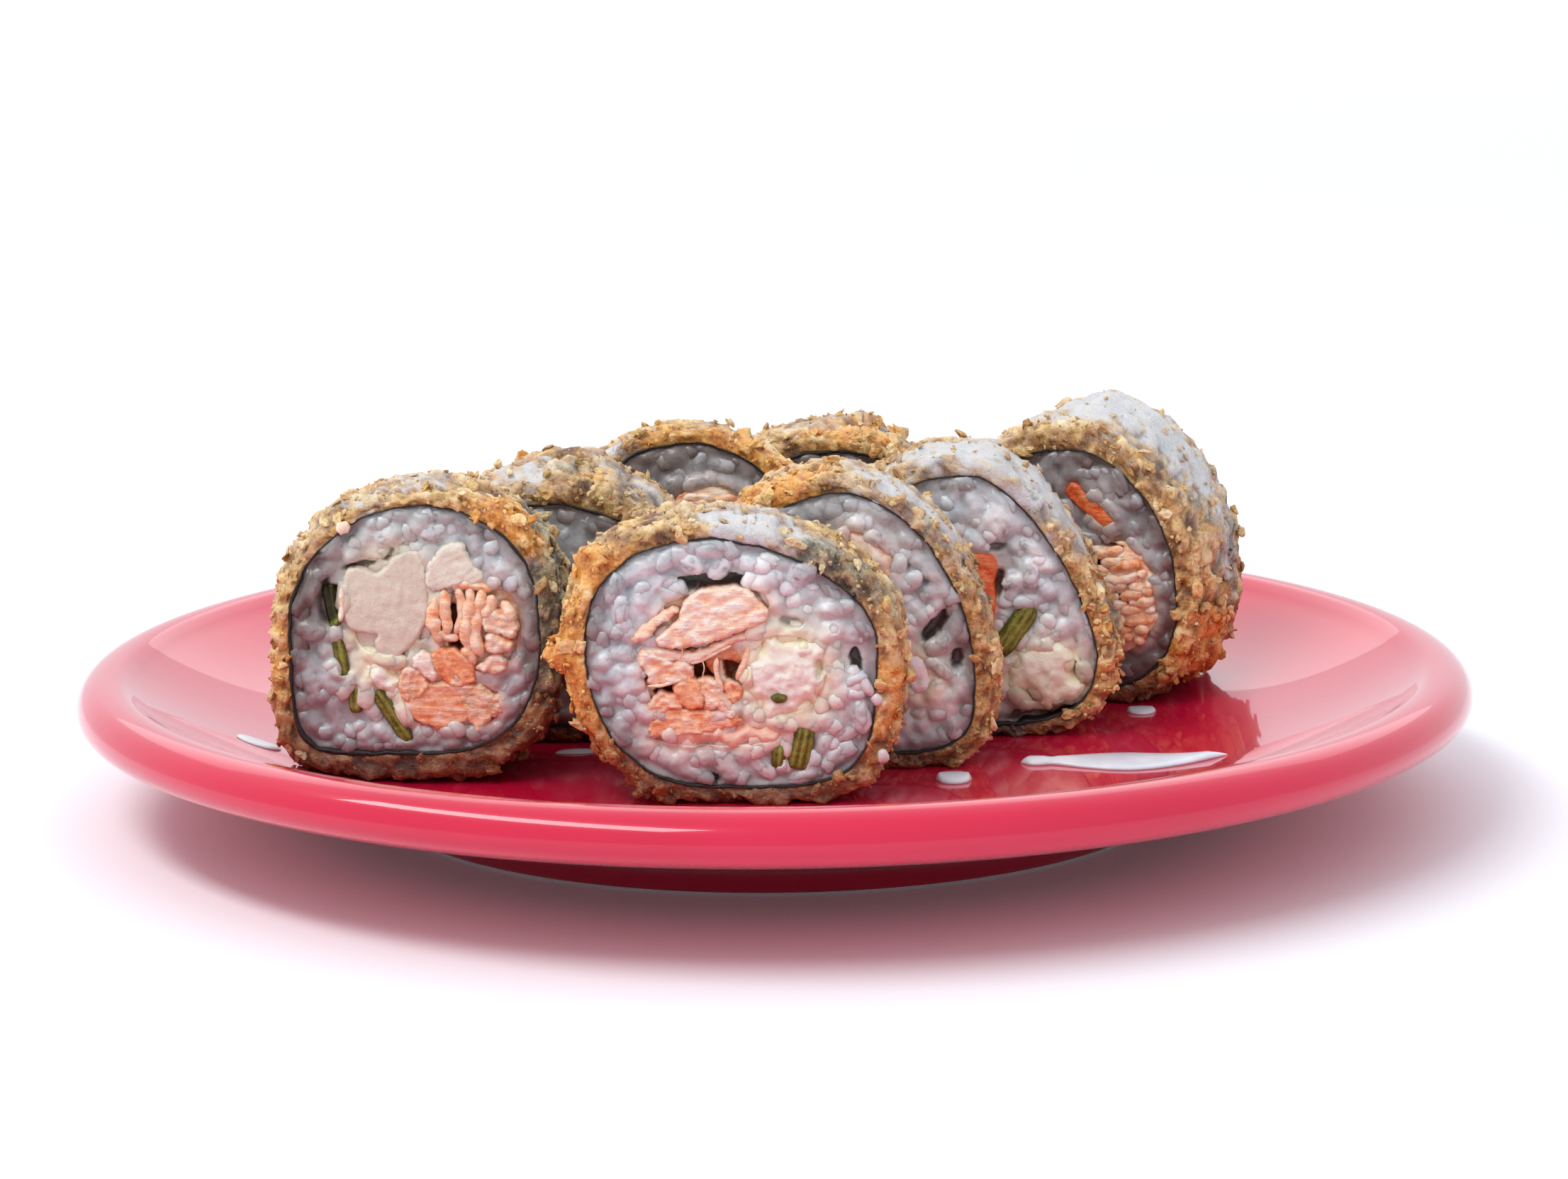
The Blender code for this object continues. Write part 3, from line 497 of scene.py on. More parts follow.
def angle_from(degrees, angle):
    """How far each angle is from a direction, from -pi to pi."""
    turned_by = angle - math.radians(degrees)
    return np.arctan2(np.sin(turned_by), np.cos(turned_by))


def at_depth(flat, depth):
    """Points of a cut face as points of the slice's own frame, at a depth from its front."""
    return np.stack([flat[..., 0], np.broadcast_to(depth, flat.shape[:-1]), flat[..., 1]], -1)


def line_points(at, knots, control):
    """Points on a line drawn through control points, at shares of the way between its knots."""
    return np.column_stack([np.interp(at, knots, control[:, k]) for k in range(2)])


def smoothed(line, times):
    """An open line whose points are drawn towards their neighbours."""
    for _ in range(times):
        line[1:-1] = (line[:-2] + 2 * line[1:-1] + line[2:]) / 4
    return line


def shards(points, size, seed):
    """Flakes packed side by side and tilted: each point's height on its flake, and its flake's number."""
    height = np.empty(len(points))
    number = np.empty(len(points))
    for index, spot in enumerate((points / size + seed).tolist()):
        _, centres = noise.voronoi(spot)
        own = noise.cell_vector(centres[0] * 37.0) - Vector((0.5, 0.5, 0.5))
        height[index] = own.x + 1.6 * own.zxy.dot(Vector(spot) - centres[0])
        number[index] = own.y + 0.5
    return height, number


def smooth(low, high, value):
    """0 below low and 1 above high, with a soft rise between them."""
    share = np.clip((value - low) / (high - low), 0.0, 1.0)
    return share * share * (3.0 - 2.0 * share)


def plate_top(radius):
    """The height of the plate's upper side, by distance from its middle."""
    climb = np.maximum(0.0, (radius - FLOOR_RADIUS) / (CREST_RADIUS - FLOOR_RADIUS))
    return FLOOR_HEIGHT + (CREST_HEIGHT - FLOOR_HEIGHT) * climb**2


def outward(points, faces):
    """The faces of a closed mesh, turned so that they look outwards."""
    a, b, c = (points[faces[:, k]] for k in range(3))
    volume = np.einsum("ij,ij->", a, np.cross(b, c))
    return faces if volume > 0 else faces[:, ::-1]


def band_faces(rows, count, closed=False):
    """Triangles between rings of count points each; closed also joins the last ring to the first."""
    ring = np.arange(rows if closed else rows - 1)
    near = ring[:, None] * count
    far = ((ring + 1) % rows)[:, None] * count
    here = np.arange(count)[None]
    there = (here + 1) % count
    one = np.stack([near + here, near + there, far + there], -1).reshape(-1, 3)
    two = np.stack([near + here, far + there, far + here], -1).reshape(-1, 3)
    return np.concatenate([one, two])


def closed_rings(rings):
    """Points and outward faces of a body made of rings, with a point in the middle of each end."""
    rows = len(rings)
    count = len(rings[0])
    points = np.concatenate([*rings, [rings[0].mean(0), rings[-1].mean(0)]])
    here = np.arange(count)
    there = (here + 1) % count
    last = (rows - 1) * count
    first_end = np.stack([there, here, np.full(count, rows * count)], -1)
    last_end = np.stack([last + here, last + there, np.full(count, rows * count + 1)], -1)
    return points, outward(points, np.concatenate([band_faces(rows, count), first_end, last_end]))


def thick_sheet(triangles, front, back):
    """Points and outward faces of the body between two sheets that share their triangles."""
    total = len(front)
    edges = np.concatenate([triangles[:, [0, 1]], triangles[:, [1, 2]], triangles[:, [2, 0]]])
    lone = ~np.isin(edges[:, 0] * total + edges[:, 1], edges[:, 1] * total + edges[:, 0])
    a, b = edges[lone].T
    wall = np.concatenate([np.stack([b, a, a + total], -1), np.stack([b, a + total, b + total], -1)])
    points = np.concatenate([front, back])
    return points, outward(points, np.concatenate([triangles, triangles[:, ::-1] + total, wall]))


def new_object(name, data):
    made = bpy.data.objects.new(name, data)
    bpy.context.scene.collection.objects.link(made)
    return made


class Pile:
    """Closed meshes gathered into one piece, with named values at each point."""

    def __init__(self, *names):
        self.names = names
        self.points = []
        self.faces = []
        self.flat = []
        self.values = {name: [] for name in names}
        self.count = 0

    def add(self, points, faces, flat=False, **values):
        self.points.append(points)
        self.faces.append(faces + self.count)
        self.flat.append(np.broadcast_to(flat, len(faces)))
        for name in self.names:
            self.values[name].append(np.broadcast_to(values.get(name, 0.0), len(points)).astype(np.float32))
        self.count += len(points)

    def finish(self, name, look, slot, *nodes):
        points = np.concatenate(self.points) * MM
        faces = np.concatenate(self.faces)
        mesh = bpy.data.meshes.new(name)
        mesh.from_pydata(points.tolist(), [], faces.tolist())
        mesh.polygons.foreach_set("use_smooth", ~np.concatenate(self.flat))
        for key in self.names:
            layer = mesh.attributes.new(key, "FLOAT", "POINT")
            layer.data.foreach_set("value", np.concatenate(self.values[key]))
        mesh.materials.append(look)
        piece = new_object(name, mesh)
        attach(piece, "root")
        if nodes:
            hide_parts(*nodes)


class Paint:
    """A node material whose coordinates are millimetres in the row frame."""

    def __init__(self, name):
        self.material = bpy.data.materials.new(name)
        self.material.use_nodes = True
        self.nodes = self.material.node_tree.nodes
        self.links = self.material.node_tree.links
        self.shader = self.nodes["Principled BSDF"]
        metres = self.nodes.new("ShaderNodeTexCoord").outputs["Object"]
        self.place = self.vector("MULTIPLY", metres, (1.0 / MM,) * 3)

    def put(self, socket, value):
        if isinstance(value, bpy.types.NodeSocket):
            self.links.new(value, socket)
        else:
            socket.default_value = value

    def vector(self, operation, one, other):
        node = self.nodes.new("ShaderNodeVectorMath")
        node.operation = operation
        self.put(node.inputs[0], one)
        self.put(node.inputs[1], other)
        return node.outputs[0]

    def math(self, operation, one, other, clamp=False):
        node = self.nodes.new("ShaderNodeMath")
        node.operation = operation
        node.use_clamp = clamp
        self.put(node.inputs[0], one)
        self.put(node.inputs[1], other)
        return node.outputs[0]

    def noise(self, size, detail, roughness):
        node = self.nodes.new("ShaderNodeTexNoise")
        node.inputs["Scale"].default_value = 1.0 / size
        node.inputs["Detail"].default_value = detail
        node.inputs["Roughness"].default_value = roughness
        self.put(node.inputs["Vector"], self.place)
        return node.outputs["Fac"]

    def value(self, name):
        node = self.nodes.new("ShaderNodeAttribute")
        node.attribute_name = name
        return node.outputs["Fac"]

    def ramp(self, fac, *stops):
        node = self.nodes.new("ShaderNodeValToRGB")
        self.put(node.inputs["Fac"], fac)
        elements = node.color_ramp.elements
        while len(elements) < len(stops):
            elements.new(0.5)
        for element, (position, colour) in zip(elements, stops):
            element.position = position
            element.color = (*colour, 1.0)
        return node.outputs["Color"]

    def share(self, fac, low, high, most=1.0):
        """A grey that is 0 below low and most above high."""
        return self.ramp(fac, (low, (0.0,) * 3), (high, (most,) * 3))

    def mix(self, fac, one, other, blend="MIX"):
        node = self.nodes.new("ShaderNodeMix")
        node.data_type = "RGBA"
        node.blend_type = blend
        self.put(node.inputs[0], fac)
        self.put(node.inputs[6], one if isinstance(one, bpy.types.NodeSocket) else (*one, 1.0))
        self.put(node.inputs[7], other if isinstance(other, bpy.types.NodeSocket) else (*other, 1.0))
        return node.outputs[2]

    def blend(self, fac, low, high):
        """A number between low and high."""
        node = self.nodes.new("ShaderNodeMapRange")
        self.put(node.inputs["Value"], fac)
        node.inputs["To Min"].default_value = low
        node.inputs["To Max"].default_value = high
        return node.outputs["Result"]

    def fleck(self, wide, wide_share, fine, fine_share):
        """The point's own tone with noise of two sizes over it, around 0.5."""
        tone = self.math("MULTIPLY", self.value("tone"), 1.0 - wide_share)
        mixed = self.math("ADD", self.math("MULTIPLY", wide, wide_share), tone)
        return self.math("ADD", mixed, self.math("MULTIPLY", self.math("SUBTRACT", fine, 0.5), fine_share))

    def set(self, **values):
        for name, value in values.items():
            self.put(self.shader.inputs[name.replace("_", " ")], value)

    def bump(self, height, distance, strength):
        node = self.nodes.new("ShaderNodeBump")
        node.inputs["Strength"].default_value = strength
        node.inputs["Distance"].default_value = distance * MM
        self.put(node.inputs["Height"], height)
        self.put(self.shader.inputs["Normal"], node.outputs["Normal"])

    def soften(self, weight, radius, scale):
        self.set(Subsurface_Weight=weight, Subsurface_Radius=radius, Subsurface_Scale=scale * MM)


def crust_look():
    paint = Paint("fried_crumb")
    fine = paint.noise(0.45, 4, 0.65)
    broad = paint.noise(3.6, 3, 0.6)
    fleck = paint.fleck(paint.noise(1.6, 3, 0.6), 0.35, fine, 0.5)
    golden = paint.ramp(
        fleck, (0.20, (0.075, 0.032, 0.010)), (0.36, (0.30, 0.150, 0.042)), (0.50, (0.60, 0.36, 0.115)),
        (0.64, (0.82, 0.60, 0.27)), (0.84, (0.96, 0.86, 0.60)),
    )
    brown = paint.ramp(
        fleck, (0.20, (0.040, 0.015, 0.006)), (0.40, (0.16, 0.065, 0.022)), (0.58, (0.42, 0.20, 0.070)),
        (0.80, (0.80, 0.54, 0.26)),
    )
    orange = paint.ramp(
        fleck, (0.18, (0.17, 0.036, 0.006)), (0.38, (0.53, 0.175, 0.026)), (0.56, (0.85, 0.42, 0.085)),
        (0.78, (0.97, 0.74, 0.36)),
    )
    dull = paint.ramp(
        fleck, (0.22, (0.026, 0.021, 0.012)), (0.46, (0.11, 0.095, 0.055)), (0.62, (0.34, 0.29, 0.17)),
        (0.80, (0.76, 0.66, 0.40)),
    )
    colour = paint.mix(paint.share(broad, 0.46, 0.60, 0.9), golden, brown)
    colour = paint.mix(paint.value("bare"), colour, dull)
    colour = paint.mix(paint.value("fried"), colour, orange)
    colour = paint.mix(paint.value("shade"), colour, (0.26, 0.10, 0.07), "MULTIPLY")
    wet = paint.math("MULTIPLY", paint.value("film"), paint.blend(fine, 0.45, 1.25), clamp=True)
    colour = paint.mix(wet, colour, (0.66, 0.705, 0.74))
    rough = paint.math("SUBTRACT", paint.blend(fine, 0.18, 0.40), paint.math("MULTIPLY", wet, 0.14))
    paint.set(Base_Color=colour, Roughness=rough, Specular_IOR_Level=0.65)
    paint.soften(0.25, (1.0, 0.55, 0.25), 0.35)
    paint.bump(fine, 0.32, 0.9)
    return paint.material


def seaweed_look():
    paint = Paint("toasted_seaweed")
    fine = paint.noise(0.5, 4, 0.65)
    colour = paint.ramp(
        fine, (0.3, (0.004, 0.005, 0.006)), (0.6, (0.014, 0.017, 0.018)), (0.8, (0.05, 0.05, 0.045)),
    )
    paint.set(Base_Color=colour, Roughness=paint.blend(fine, 0.3, 0.65))
    paint.bump(fine, 0.2, 0.8)
    return paint.material


def rice_look():
    paint = Paint("cooked_rice")
    wide = paint.noise(3.2, 3, 0.55)
    fine = paint.noise(0.6, 4, 0.6)
    cloud = paint.math("MULTIPLY", paint.math("SUBTRACT", paint.noise(7.0, 2, 0.5), 0.5), 0.5)
    fleck = paint.math("ADD", paint.fleck(wide, 0.5, fine, 0.3), cloud)
    colour = paint.ramp(
        fleck, (0.20, (0.36, 0.395, 0.42)), (0.42, (0.51, 0.56, 0.59)), (0.60, (0.66, 0.715, 0.745)),
        (0.80, (0.89, 0.93, 0.95)),
    )
    near = paint.math("MULTIPLY", paint.value("peach"), paint.blend(wide, 0.4, 1.2), clamp=True)
    colour = paint.mix(near, colour, (0.97, 0.70, 0.56))
    near = paint.math("MULTIPLY", paint.value("ivory"), paint.blend(wide, 0.75, 1.3), clamp=True)
    colour = paint.mix(near, colour, (0.92, 0.87, 0.62))
    colour = paint.mix(paint.value("shade"), colour, (0.28, 0.20, 0.18), "MULTIPLY")
    paint.set(Base_Color=colour, Roughness=paint.blend(fine, 0.18, 0.42), Specular_IOR_Level=0.5)
    paint.set(Coat_Weight=0.2, Coat_Roughness=0.15)
    paint.soften(0.5, (1.0, 0.93, 0.95), 0.35)
    paint.bump(fine, 0.10, 0.6)
    return paint.material


def flesh_look(name, stops, painted_shade, radius, weight=0.35, edge=0.0, fibre=0.0, gloss=0.55):
    """Fish, crab, cream and scallion: a ramp over flecks, with painted shade where the surface lies deep and
    at dim spots.
    """
    paint = Paint(name)
    fine = paint.noise(0.3, 3, 0.6)
    fleck = paint.fleck(paint.noise(1.8, 3, 0.6), 0.45, fine, 0.35)
    height = fine
    if fibre:
        plain = paint.place
        paint.place = paint.vector("MULTIPLY", plain, (0.22, 0.5, 1.0))
        streak = paint.noise(0.55, 3, 0.6)
        paint.place = plain
        height = paint.math("ADD", fine, paint.math("MULTIPLY", streak, 2.0))
        fleck = paint.math("ADD", fleck, paint.math("MULTIPLY", paint.math("SUBTRACT", streak, 0.5), fibre))
    colour = paint.ramp(fleck, *stops)
    if edge:
        colour = paint.mix(paint.math("MULTIPLY", paint.value("edge"), edge), colour, (0.78, 0.76, 0.80))
    colour = paint.mix(paint.value("shade"), colour, painted_shade)
    paint.set(Base_Color=colour, Roughness=paint.blend(fine, 0.22, 0.45), Specular_IOR_Level=gloss)
    paint.soften(weight, radius, 0.4)
    paint.bump(height, 0.14, 0.8)
    return paint.material


def sauce_look():
    paint = Paint("white_sauce")
    wide = paint.noise(4.0, 2, 0.5)
    colour = paint.ramp(wide, (0.3, (0.68, 0.72, 0.80)), (0.7, (0.80, 0.83, 0.88)))
    paint.set(Base_Color=colour, Roughness=0.16, Specular_IOR_Level=0.6)
    paint.soften(0.3, (0.9, 0.95, 1.0), 1.0)
    paint.bump(paint.noise(1.6, 2, 0.5), 0.05, 0.4)
    return paint.material


def glaze_look():
    paint = Paint("red_glaze")
    wide = paint.noise(30.0, 2, 0.5)
    speck = paint.noise(0.7, 2, 0.6)
    colour = paint.ramp(wide, (0.3, (0.60, 0.005, 0.044)), (0.7, (0.66, 0.006, 0.053)))
    colour = paint.mix(paint.share(speck, 0.70, 0.78), colour, (0.56, 0.004, 0.050))
    separate = paint.nodes.new("ShaderNodeSeparateXYZ")
    paint.put(separate.inputs[0], paint.place)
    # Painted shade: the glaze is darker low down, on the plate's underside.
    low = paint.math("LESS_THAN", separate.outputs["Z"], SHADED_GLAZE_HEIGHT)
    colour = paint.mix(low, colour, (0.34, 0.002, 0.022))
    bare = paint.math("LESS_THAN", separate.outputs["Z"], BARE_HEIGHT)
    colour = paint.mix(bare, colour, (0.62, 0.57, 0.55))
    paint.set(Base_Color=colour, Roughness=paint.blend(bare, 0.25, 0.8), Specular_IOR_Level=0.2)
    paint.set(Coat_Weight=1.0, Coat_Roughness=0.03, Coat_IOR=1.45)
    paint.bump(paint.noise(9.0, 2, 0.5), 0.05, 0.25)
    return paint.material


def reach(piece, angle):
    """Distance from the middle to the seaweed's plain outline, by angle."""
    across = np.cos(angle)
    along = np.sin(angle)
    half_width = np.where(across >= 0, piece.right, piece.left)
    half_height = np.where(along >= 0, piece.up, piece.down)
    power = np.array(piece.corners)[((angle % (2 * math.pi)) // (math.pi / 2)).astype(int)]
    return (np.abs(across / half_width) ** power + np.abs(along / half_height) ** power) ** (-1 / power)


def loop_normals(loop):
    """Outward normals of a loop that runs anticlockwise."""
    along = np.roll(loop, -1, 0) - np.roll(loop, 1, 0)
    along /= np.maximum(np.linalg.norm(along, axis=1, keepdims=True), 1e-9)
    return np.stack([along[:, 1], -along[:, 0]], -1)


def area_of(loop):
    """The area inside a loop, negative if it runs clockwise."""
    following = np.roll(loop, -1, 0)
    return float((loop[:, 0] * following[:, 1] - following[:, 0] * loop[:, 1]).sum() / 2)


def inside_depth(points, loop):
    """Distance from each point to the loop, positive inside it and negative outside."""
    start = np.roll(loop, 1, 0)
    side = loop - start
    offset = points[:, None] - start[None]
    share = np.clip((offset * side).sum(-1) / np.maximum((side * side).sum(-1), 1e-12), 0.0, 1.0)
    distance = np.linalg.norm(offset - share[..., None] * side, axis=-1).min(1)
    above = (start[None, :, 1] > points[:, None, 1]) != (loop[None, :, 1] > points[:, None, 1])
    with np.errstate(divide="ignore", invalid="ignore"):
        across = start[:, 0] + (points[:, None, 1] - start[:, 1]) / side[:, 1] * side[:, 0]
    crossings = (above & (across > points[:, None, 0])).sum(1)
    return np.where(crossings % 2 == 1, distance, -distance)


def turned(points, degrees):
    """Points turned anticlockwise about the origin."""
    c = math.cos(math.radians(degrees))
    s = math.sin(math.radians(degrees))
    return points @ np.array([[c, s], [-s, c]])


def spread(draw, low, high, spacing, allowed):
    """Random points in a box that pass allowed and keep the spacing."""
    points = draw.uniform(low, high, (PLACE_TRIES, 2))
    points = points[allowed(points)]
    kept = []
    for point in points:
        if not kept or np.min(np.hypot(*(np.array(kept) - point).T)) > spacing:
            kept.append(point)
    return np.array(kept).reshape(-1, 2)


def dots(low, high, spacing):
    """Points of a slightly uneven grid that covers a box."""
    across = np.arange(low[0], high[0] + spacing, spacing)
    along = np.arange(low[1], high[1] + spacing, spacing * ROW_SHARE)
    grid = np.stack(np.meshgrid(across, along), -1)
    grid[1::2, :, 0] += spacing / 2
    grid = grid.reshape(-1, 2)
    uneven = np.stack([noise_on(grid, 0.7 * spacing, seed) for seed in (1.0, 9.0)], -1)
    return grid + 0.22 * spacing * uneven


def cut_plan(outline, holes, inner):
    """Flat points and triangles that fill an outline around its holes."""
    flat = np.concatenate([outline, *holes, inner])
    edges = []
    start = 0
    for loop in (outline, *holes):
        edges += [(start + k, start + (k + 1) % len(loop)) for k in range(len(loop))]
        start += len(loop)
    corners, _, triangles, _, _, _ = delaunay_2d_cdt(flat.tolist(), edges, [], 0, 1e-6)
    flat = np.array([tuple(corner) for corner in corners])
    triangles = np.array(triangles)
    middle = flat[triangles].mean(1)
    keep = inside_depth(middle, outline) > 0
    for hole in holes:
        keep &= inside_depth(middle, hole) < 0
    return flat, triangles[keep]


def to_row(piece, local):
    """Points of the slice's own frame in the row frame, in millimetres."""
    turn = Matrix.Rotation(math.radians(-piece.turn), 3, "Z")
    lean = Matrix.Rotation(math.radians(piece.lean), 3, "X")
    return local @ np.array(turn @ lean).T + np.array(piece.place)


def on_plate(points, lift):
    """Lifts points that would sink into the plate to just above it."""
    rest = plate_top(np.hypot(points[:, 0], points[:, 1])) + lift
    points[:, 2] = np.maximum(points[:, 2], rest)
    return points


def patches(piece, marks, angle, depth):
    """Sum of round patches on the coat, by angle and depth."""
    total = np.zeros(np.broadcast(angle, depth).shape)
    radius = (piece.right + piece.left + piece.up + piece.down) / 4 + USUAL_COAT
    for mark in marks:
        off = angle_from(mark.angle, angle) * radius
        total += mark.amount * np.exp(-(off**2 + (depth - mark.depth) ** 2) / mark.radius**2)
    return total


def spots(marks, flat):
    """Sum of round patches on a cut face."""
    total = np.zeros(len(flat))
    for mark in marks:
        squared = (flat[:, 0] - mark.u) ** 2 + (flat[:, 1] - mark.v) ** 2
        total += mark.amount * np.exp(-squared / mark.radius**2)
    return total


def seaweed_line(piece, count):
    """The seaweed's wavy middle line: points, outward normals, angles, and how far its edge widens."""
    angle = circle(count, 0.5)
    ring = np.stack([np.cos(angle), np.sin(angle), np.full(count, piece.place[0])], -1)
    around = ring * USUAL_RADIUS
    wavy = 0.26 * noise_at(around, 3.2) + 0.12 * noise_at(around, 1.1)
    loop = ((reach(piece, angle) + wavy)[:, None]) * ring[:, :2]
    wider = patches(piece, piece.thick, angle, np.zeros(count)) * (0.8 + 0.8 * noise_at(around, 1.6, 5.0))
    return loop, loop_normals(loop), angle, np.maximum(0.0, wider)


def grid_normals(points):
    """Outward normals at each point of a grid made of rings."""
    around = np.roll(points, -1, 1) - np.roll(points, 1, 1)
    along = np.gradient(points, axis=0)
    normal = np.cross(around, along)
    normal /= np.maximum(np.linalg.norm(normal, axis=-1, keepdims=True), 1e-9)
    middle = len(points) // 2
    centre = points[middle].mean(0)
    if ((points[middle] - centre) * normal[middle]).sum() < 0:
        normal = -normal
    return normal


def coat_stations(piece):
    """Rings over the coat's front rim, outside and back rim: depths, and shares of the thickness."""
    rim = np.array([0.0, 0.10, 0.22, 0.34, 0.46, 0.58, 0.70, 0.81, 0.90, 0.965, 1.0])
    edge = np.array([0.1, -0.10, -0.20, -0.26, -0.28, -0.25, -0.16, -0.02, 0.18, 0.50, 0.95])
    middle = np.arange(1.4, piece.depth - 1.2, COAT_ROW)
    depth = np.concatenate([edge, middle, piece.depth - edge[::-1]])
    share = np.concatenate([rim, np.ones(len(middle)), rim[::-1]])
    return depth, share


def coat_surface(piece):
    """The coat's plain surface in the slice's frame, as rings of points, with angles, depths and shares."""
    line, normal, angle, _ = seaweed_line(piece, COAT_SIDES)
    depth, share = coat_stations(piece)
    right, up, left, down = piece.coat
    sideways = np.where(np.cos(angle) >= 0, right, left)
    upright = np.where(np.sin(angle) >= 0, up, down)
    thickness = sideways * np.cos(angle) ** 2 + upright * np.sin(angle) ** 2
    inner = line + normal * CLEARANCE
    shape = (len(depth), len(angle))
    belly = BELLY * np.sin(math.pi * np.clip(depth / piece.depth, 0, 1))
    swell = np.broadcast_to(belly[:, None], shape).copy()
    for lump in piece.lumps:
        off = angle_from(lump.angle, angle)[None] * piece.right
        distance = np.hypot(off, depth[:, None] - lump.depth)
        swell += lump.height * np.exp(-((distance / lump.radius) ** 2) * LUMP_FALLOFF)
    grid = at_depth(np.broadcast_to(inner, (*shape, 2)), depth[:, None])
    grid = grid.reshape(-1, 3) / CRAG_SIZE + np.array(piece.place)
    crag = noise_at(grid, 1.0) + FINE_CRAG_SHARE * noise_at(grid * FINE_CRAG_SCALE, 1.0)
    swell += CRAG * crag.reshape(shape)
    start = 0.06 + 0.06 * noise_on(line, 1.2, 3.0)
    off = start[None] + share[:, None] * (CLEARANCE - start[None] + thickness[None] + swell)
    flat = line[None] + normal[None] * off[..., None]
    return at_depth(flat, depth[:, None]), angle, depth, share


def icosahedron():
    """Points and faces of a body with 20 equal sides, its points one unit from its middle."""
    golden = (1 + math.sqrt(5)) / 2
    points = np.array([
        (-1, golden, 0), (1, golden, 0), (-1, -golden, 0), (1, -golden, 0), (0, -1, golden), (0, 1, golden),
        (0, -1, -golden), (0, 1, -golden), (golden, 0, -1), (golden, 0, 1), (-golden, 0, -1), (-golden, 0, 1),
    ]) / math.hypot(1, golden)
    faces = np.array([
        (0, 11, 5), (0, 5, 1), (0, 1, 7), (0, 7, 10), (0, 10, 11), (1, 5, 9), (5, 11, 4), (11, 10, 2),
        (10, 7, 6), (7, 1, 8), (3, 9, 4), (3, 4, 2), (3, 2, 6), (3, 6, 8), (3, 8, 9), (4, 9, 5), (2, 4, 11),
        (6, 2, 10), (8, 6, 7), (9, 8, 1),
    ])
    return points, faces


def finer(points, faces):
    """The same round body with each triangle split in four."""
    points = [tuple(point) for point in points]
    middles = {}
    split = []

    def middle(a, b):
        key = (min(a, b), max(a, b))
        if key not in middles:
            point = np.array(points[a]) + np.array(points[b])
            middles[key] = len(points)
            points.append(tuple(point / np.linalg.norm(point)))
        return middles[key]

    for a, b, c in faces.tolist():
        ab, bc, ca = middle(a, b), middle(b, c), middle(c, a)
        split += [(a, ab, ca), (ab, b, bc), (ca, bc, c), (ab, bc, ca)]
    return np.array(points), np.array(split)


def bases(normal, draw, tilt):
    """A random frame for each normal, its third axis leaning from the normal by up to about tilt."""
    third = normal + tilt * draw.normal(size=normal.shape)
    third /= np.linalg.norm(third, axis=1, keepdims=True)
    first = np.cross(third, draw.normal(size=normal.shape))
    first /= np.linalg.norm(first, axis=1, keepdims=True)
    return np.stack([first, np.cross(third, first), third], 1)


def scatter(shapes, faces, centre, frames, sizes):
    """Copies of unit shapes, each scaled, turned and placed, as one set of points and faces."""
    points = np.einsum("nvk,nkx->nvx", shapes * sizes[:, None], frames) + centre[:, None]
    each = shapes.shape[1]
    every = faces[None] + (np.arange(len(centre)) * each)[:, None, None]
    return points.reshape(-1, 3), every.reshape(-1, 3)


def repeated(values, each):
    """Each shape's own values, given to each of its points."""
    return {name: np.repeat(value, each) for name, value in values.items()}


CRUMB, CRUMB_FACES = icosahedron()
NUGGET, NUGGET_FACES = finer(CRUMB, CRUMB_FACES)


def nugget(seed):
    """The points of a knobbly crumb."""
    dented = 1 + 0.75 * noise_at(NUGGET, 0.8, seed * 7.3) + 0.35 * noise_at(NUGGET, 0.4, seed * 3.1)
    return NUGGET * dented[:, None]


NUGGETS = np.array([nugget(seed) for seed in range(NUGGET_KINDS)])

CrumbKind = namedtuple("CrumbKind", "number radius least most knobbly sharp tones")
CRUMB_KINDS = (
    CrumbKind(480, 0.28, 0.14, 0.5, False, True, (0.5, 0.9)),
    CrumbKind(150, 0.70, 0.4, 1.3, True, True, (0.5, 0.9)),
    CrumbKind(40, 0.66, 0.4, 1.3, True, False, (0.5, 0.8)),
)


def add_crumbs(pile, piece, kind, draw, pick, places, normals, values):
    """Loose crumbs of one kind on the coat's points numbered by pick."""
    number = len(pick)
    shapes = CRUMB[None] * draw.uniform(0.5, 1.35, (number, len(CRUMB), 1))
    faces = CRUMB_FACES
    if kind.knobbly:
        shapes = NUGGETS[draw.integers(0, len(NUGGETS), number)]
        faces = NUGGET_FACES
    size = np.clip(kind.radius * np.exp(draw.normal(0.0, 0.35, number)), kind.least, kind.most)
    sizes = np.stack([size, size * draw.uniform(0.5, 0.9, number), size * draw.uniform(0.3, 0.6, number)], -1)
    centre = places[pick] + normals[pick] * (draw.uniform(0.0, 0.5, number) * size)[:, None]
    points, every = scatter(shapes, faces, centre, bases(normals[pick], draw, 0.55), sizes)
    own = {
        "film": values["film"][pick] * draw.uniform(0, 0.5, number),
        "fried": np.clip(values["fried"][pick] + draw.normal(0, 0.12, number), 0, 1),
        "bare": values["bare"][pick] * draw.uniform(0.1, 0.8, number),
        "shade": values["shade"][pick],
        "tone": draw.uniform(*kind.tones, number),
    }
    pile.add(on_plate(to_row(piece, points), COAT_GAP), every, kind.sharp, **repeated(own, shapes.shape[1]))


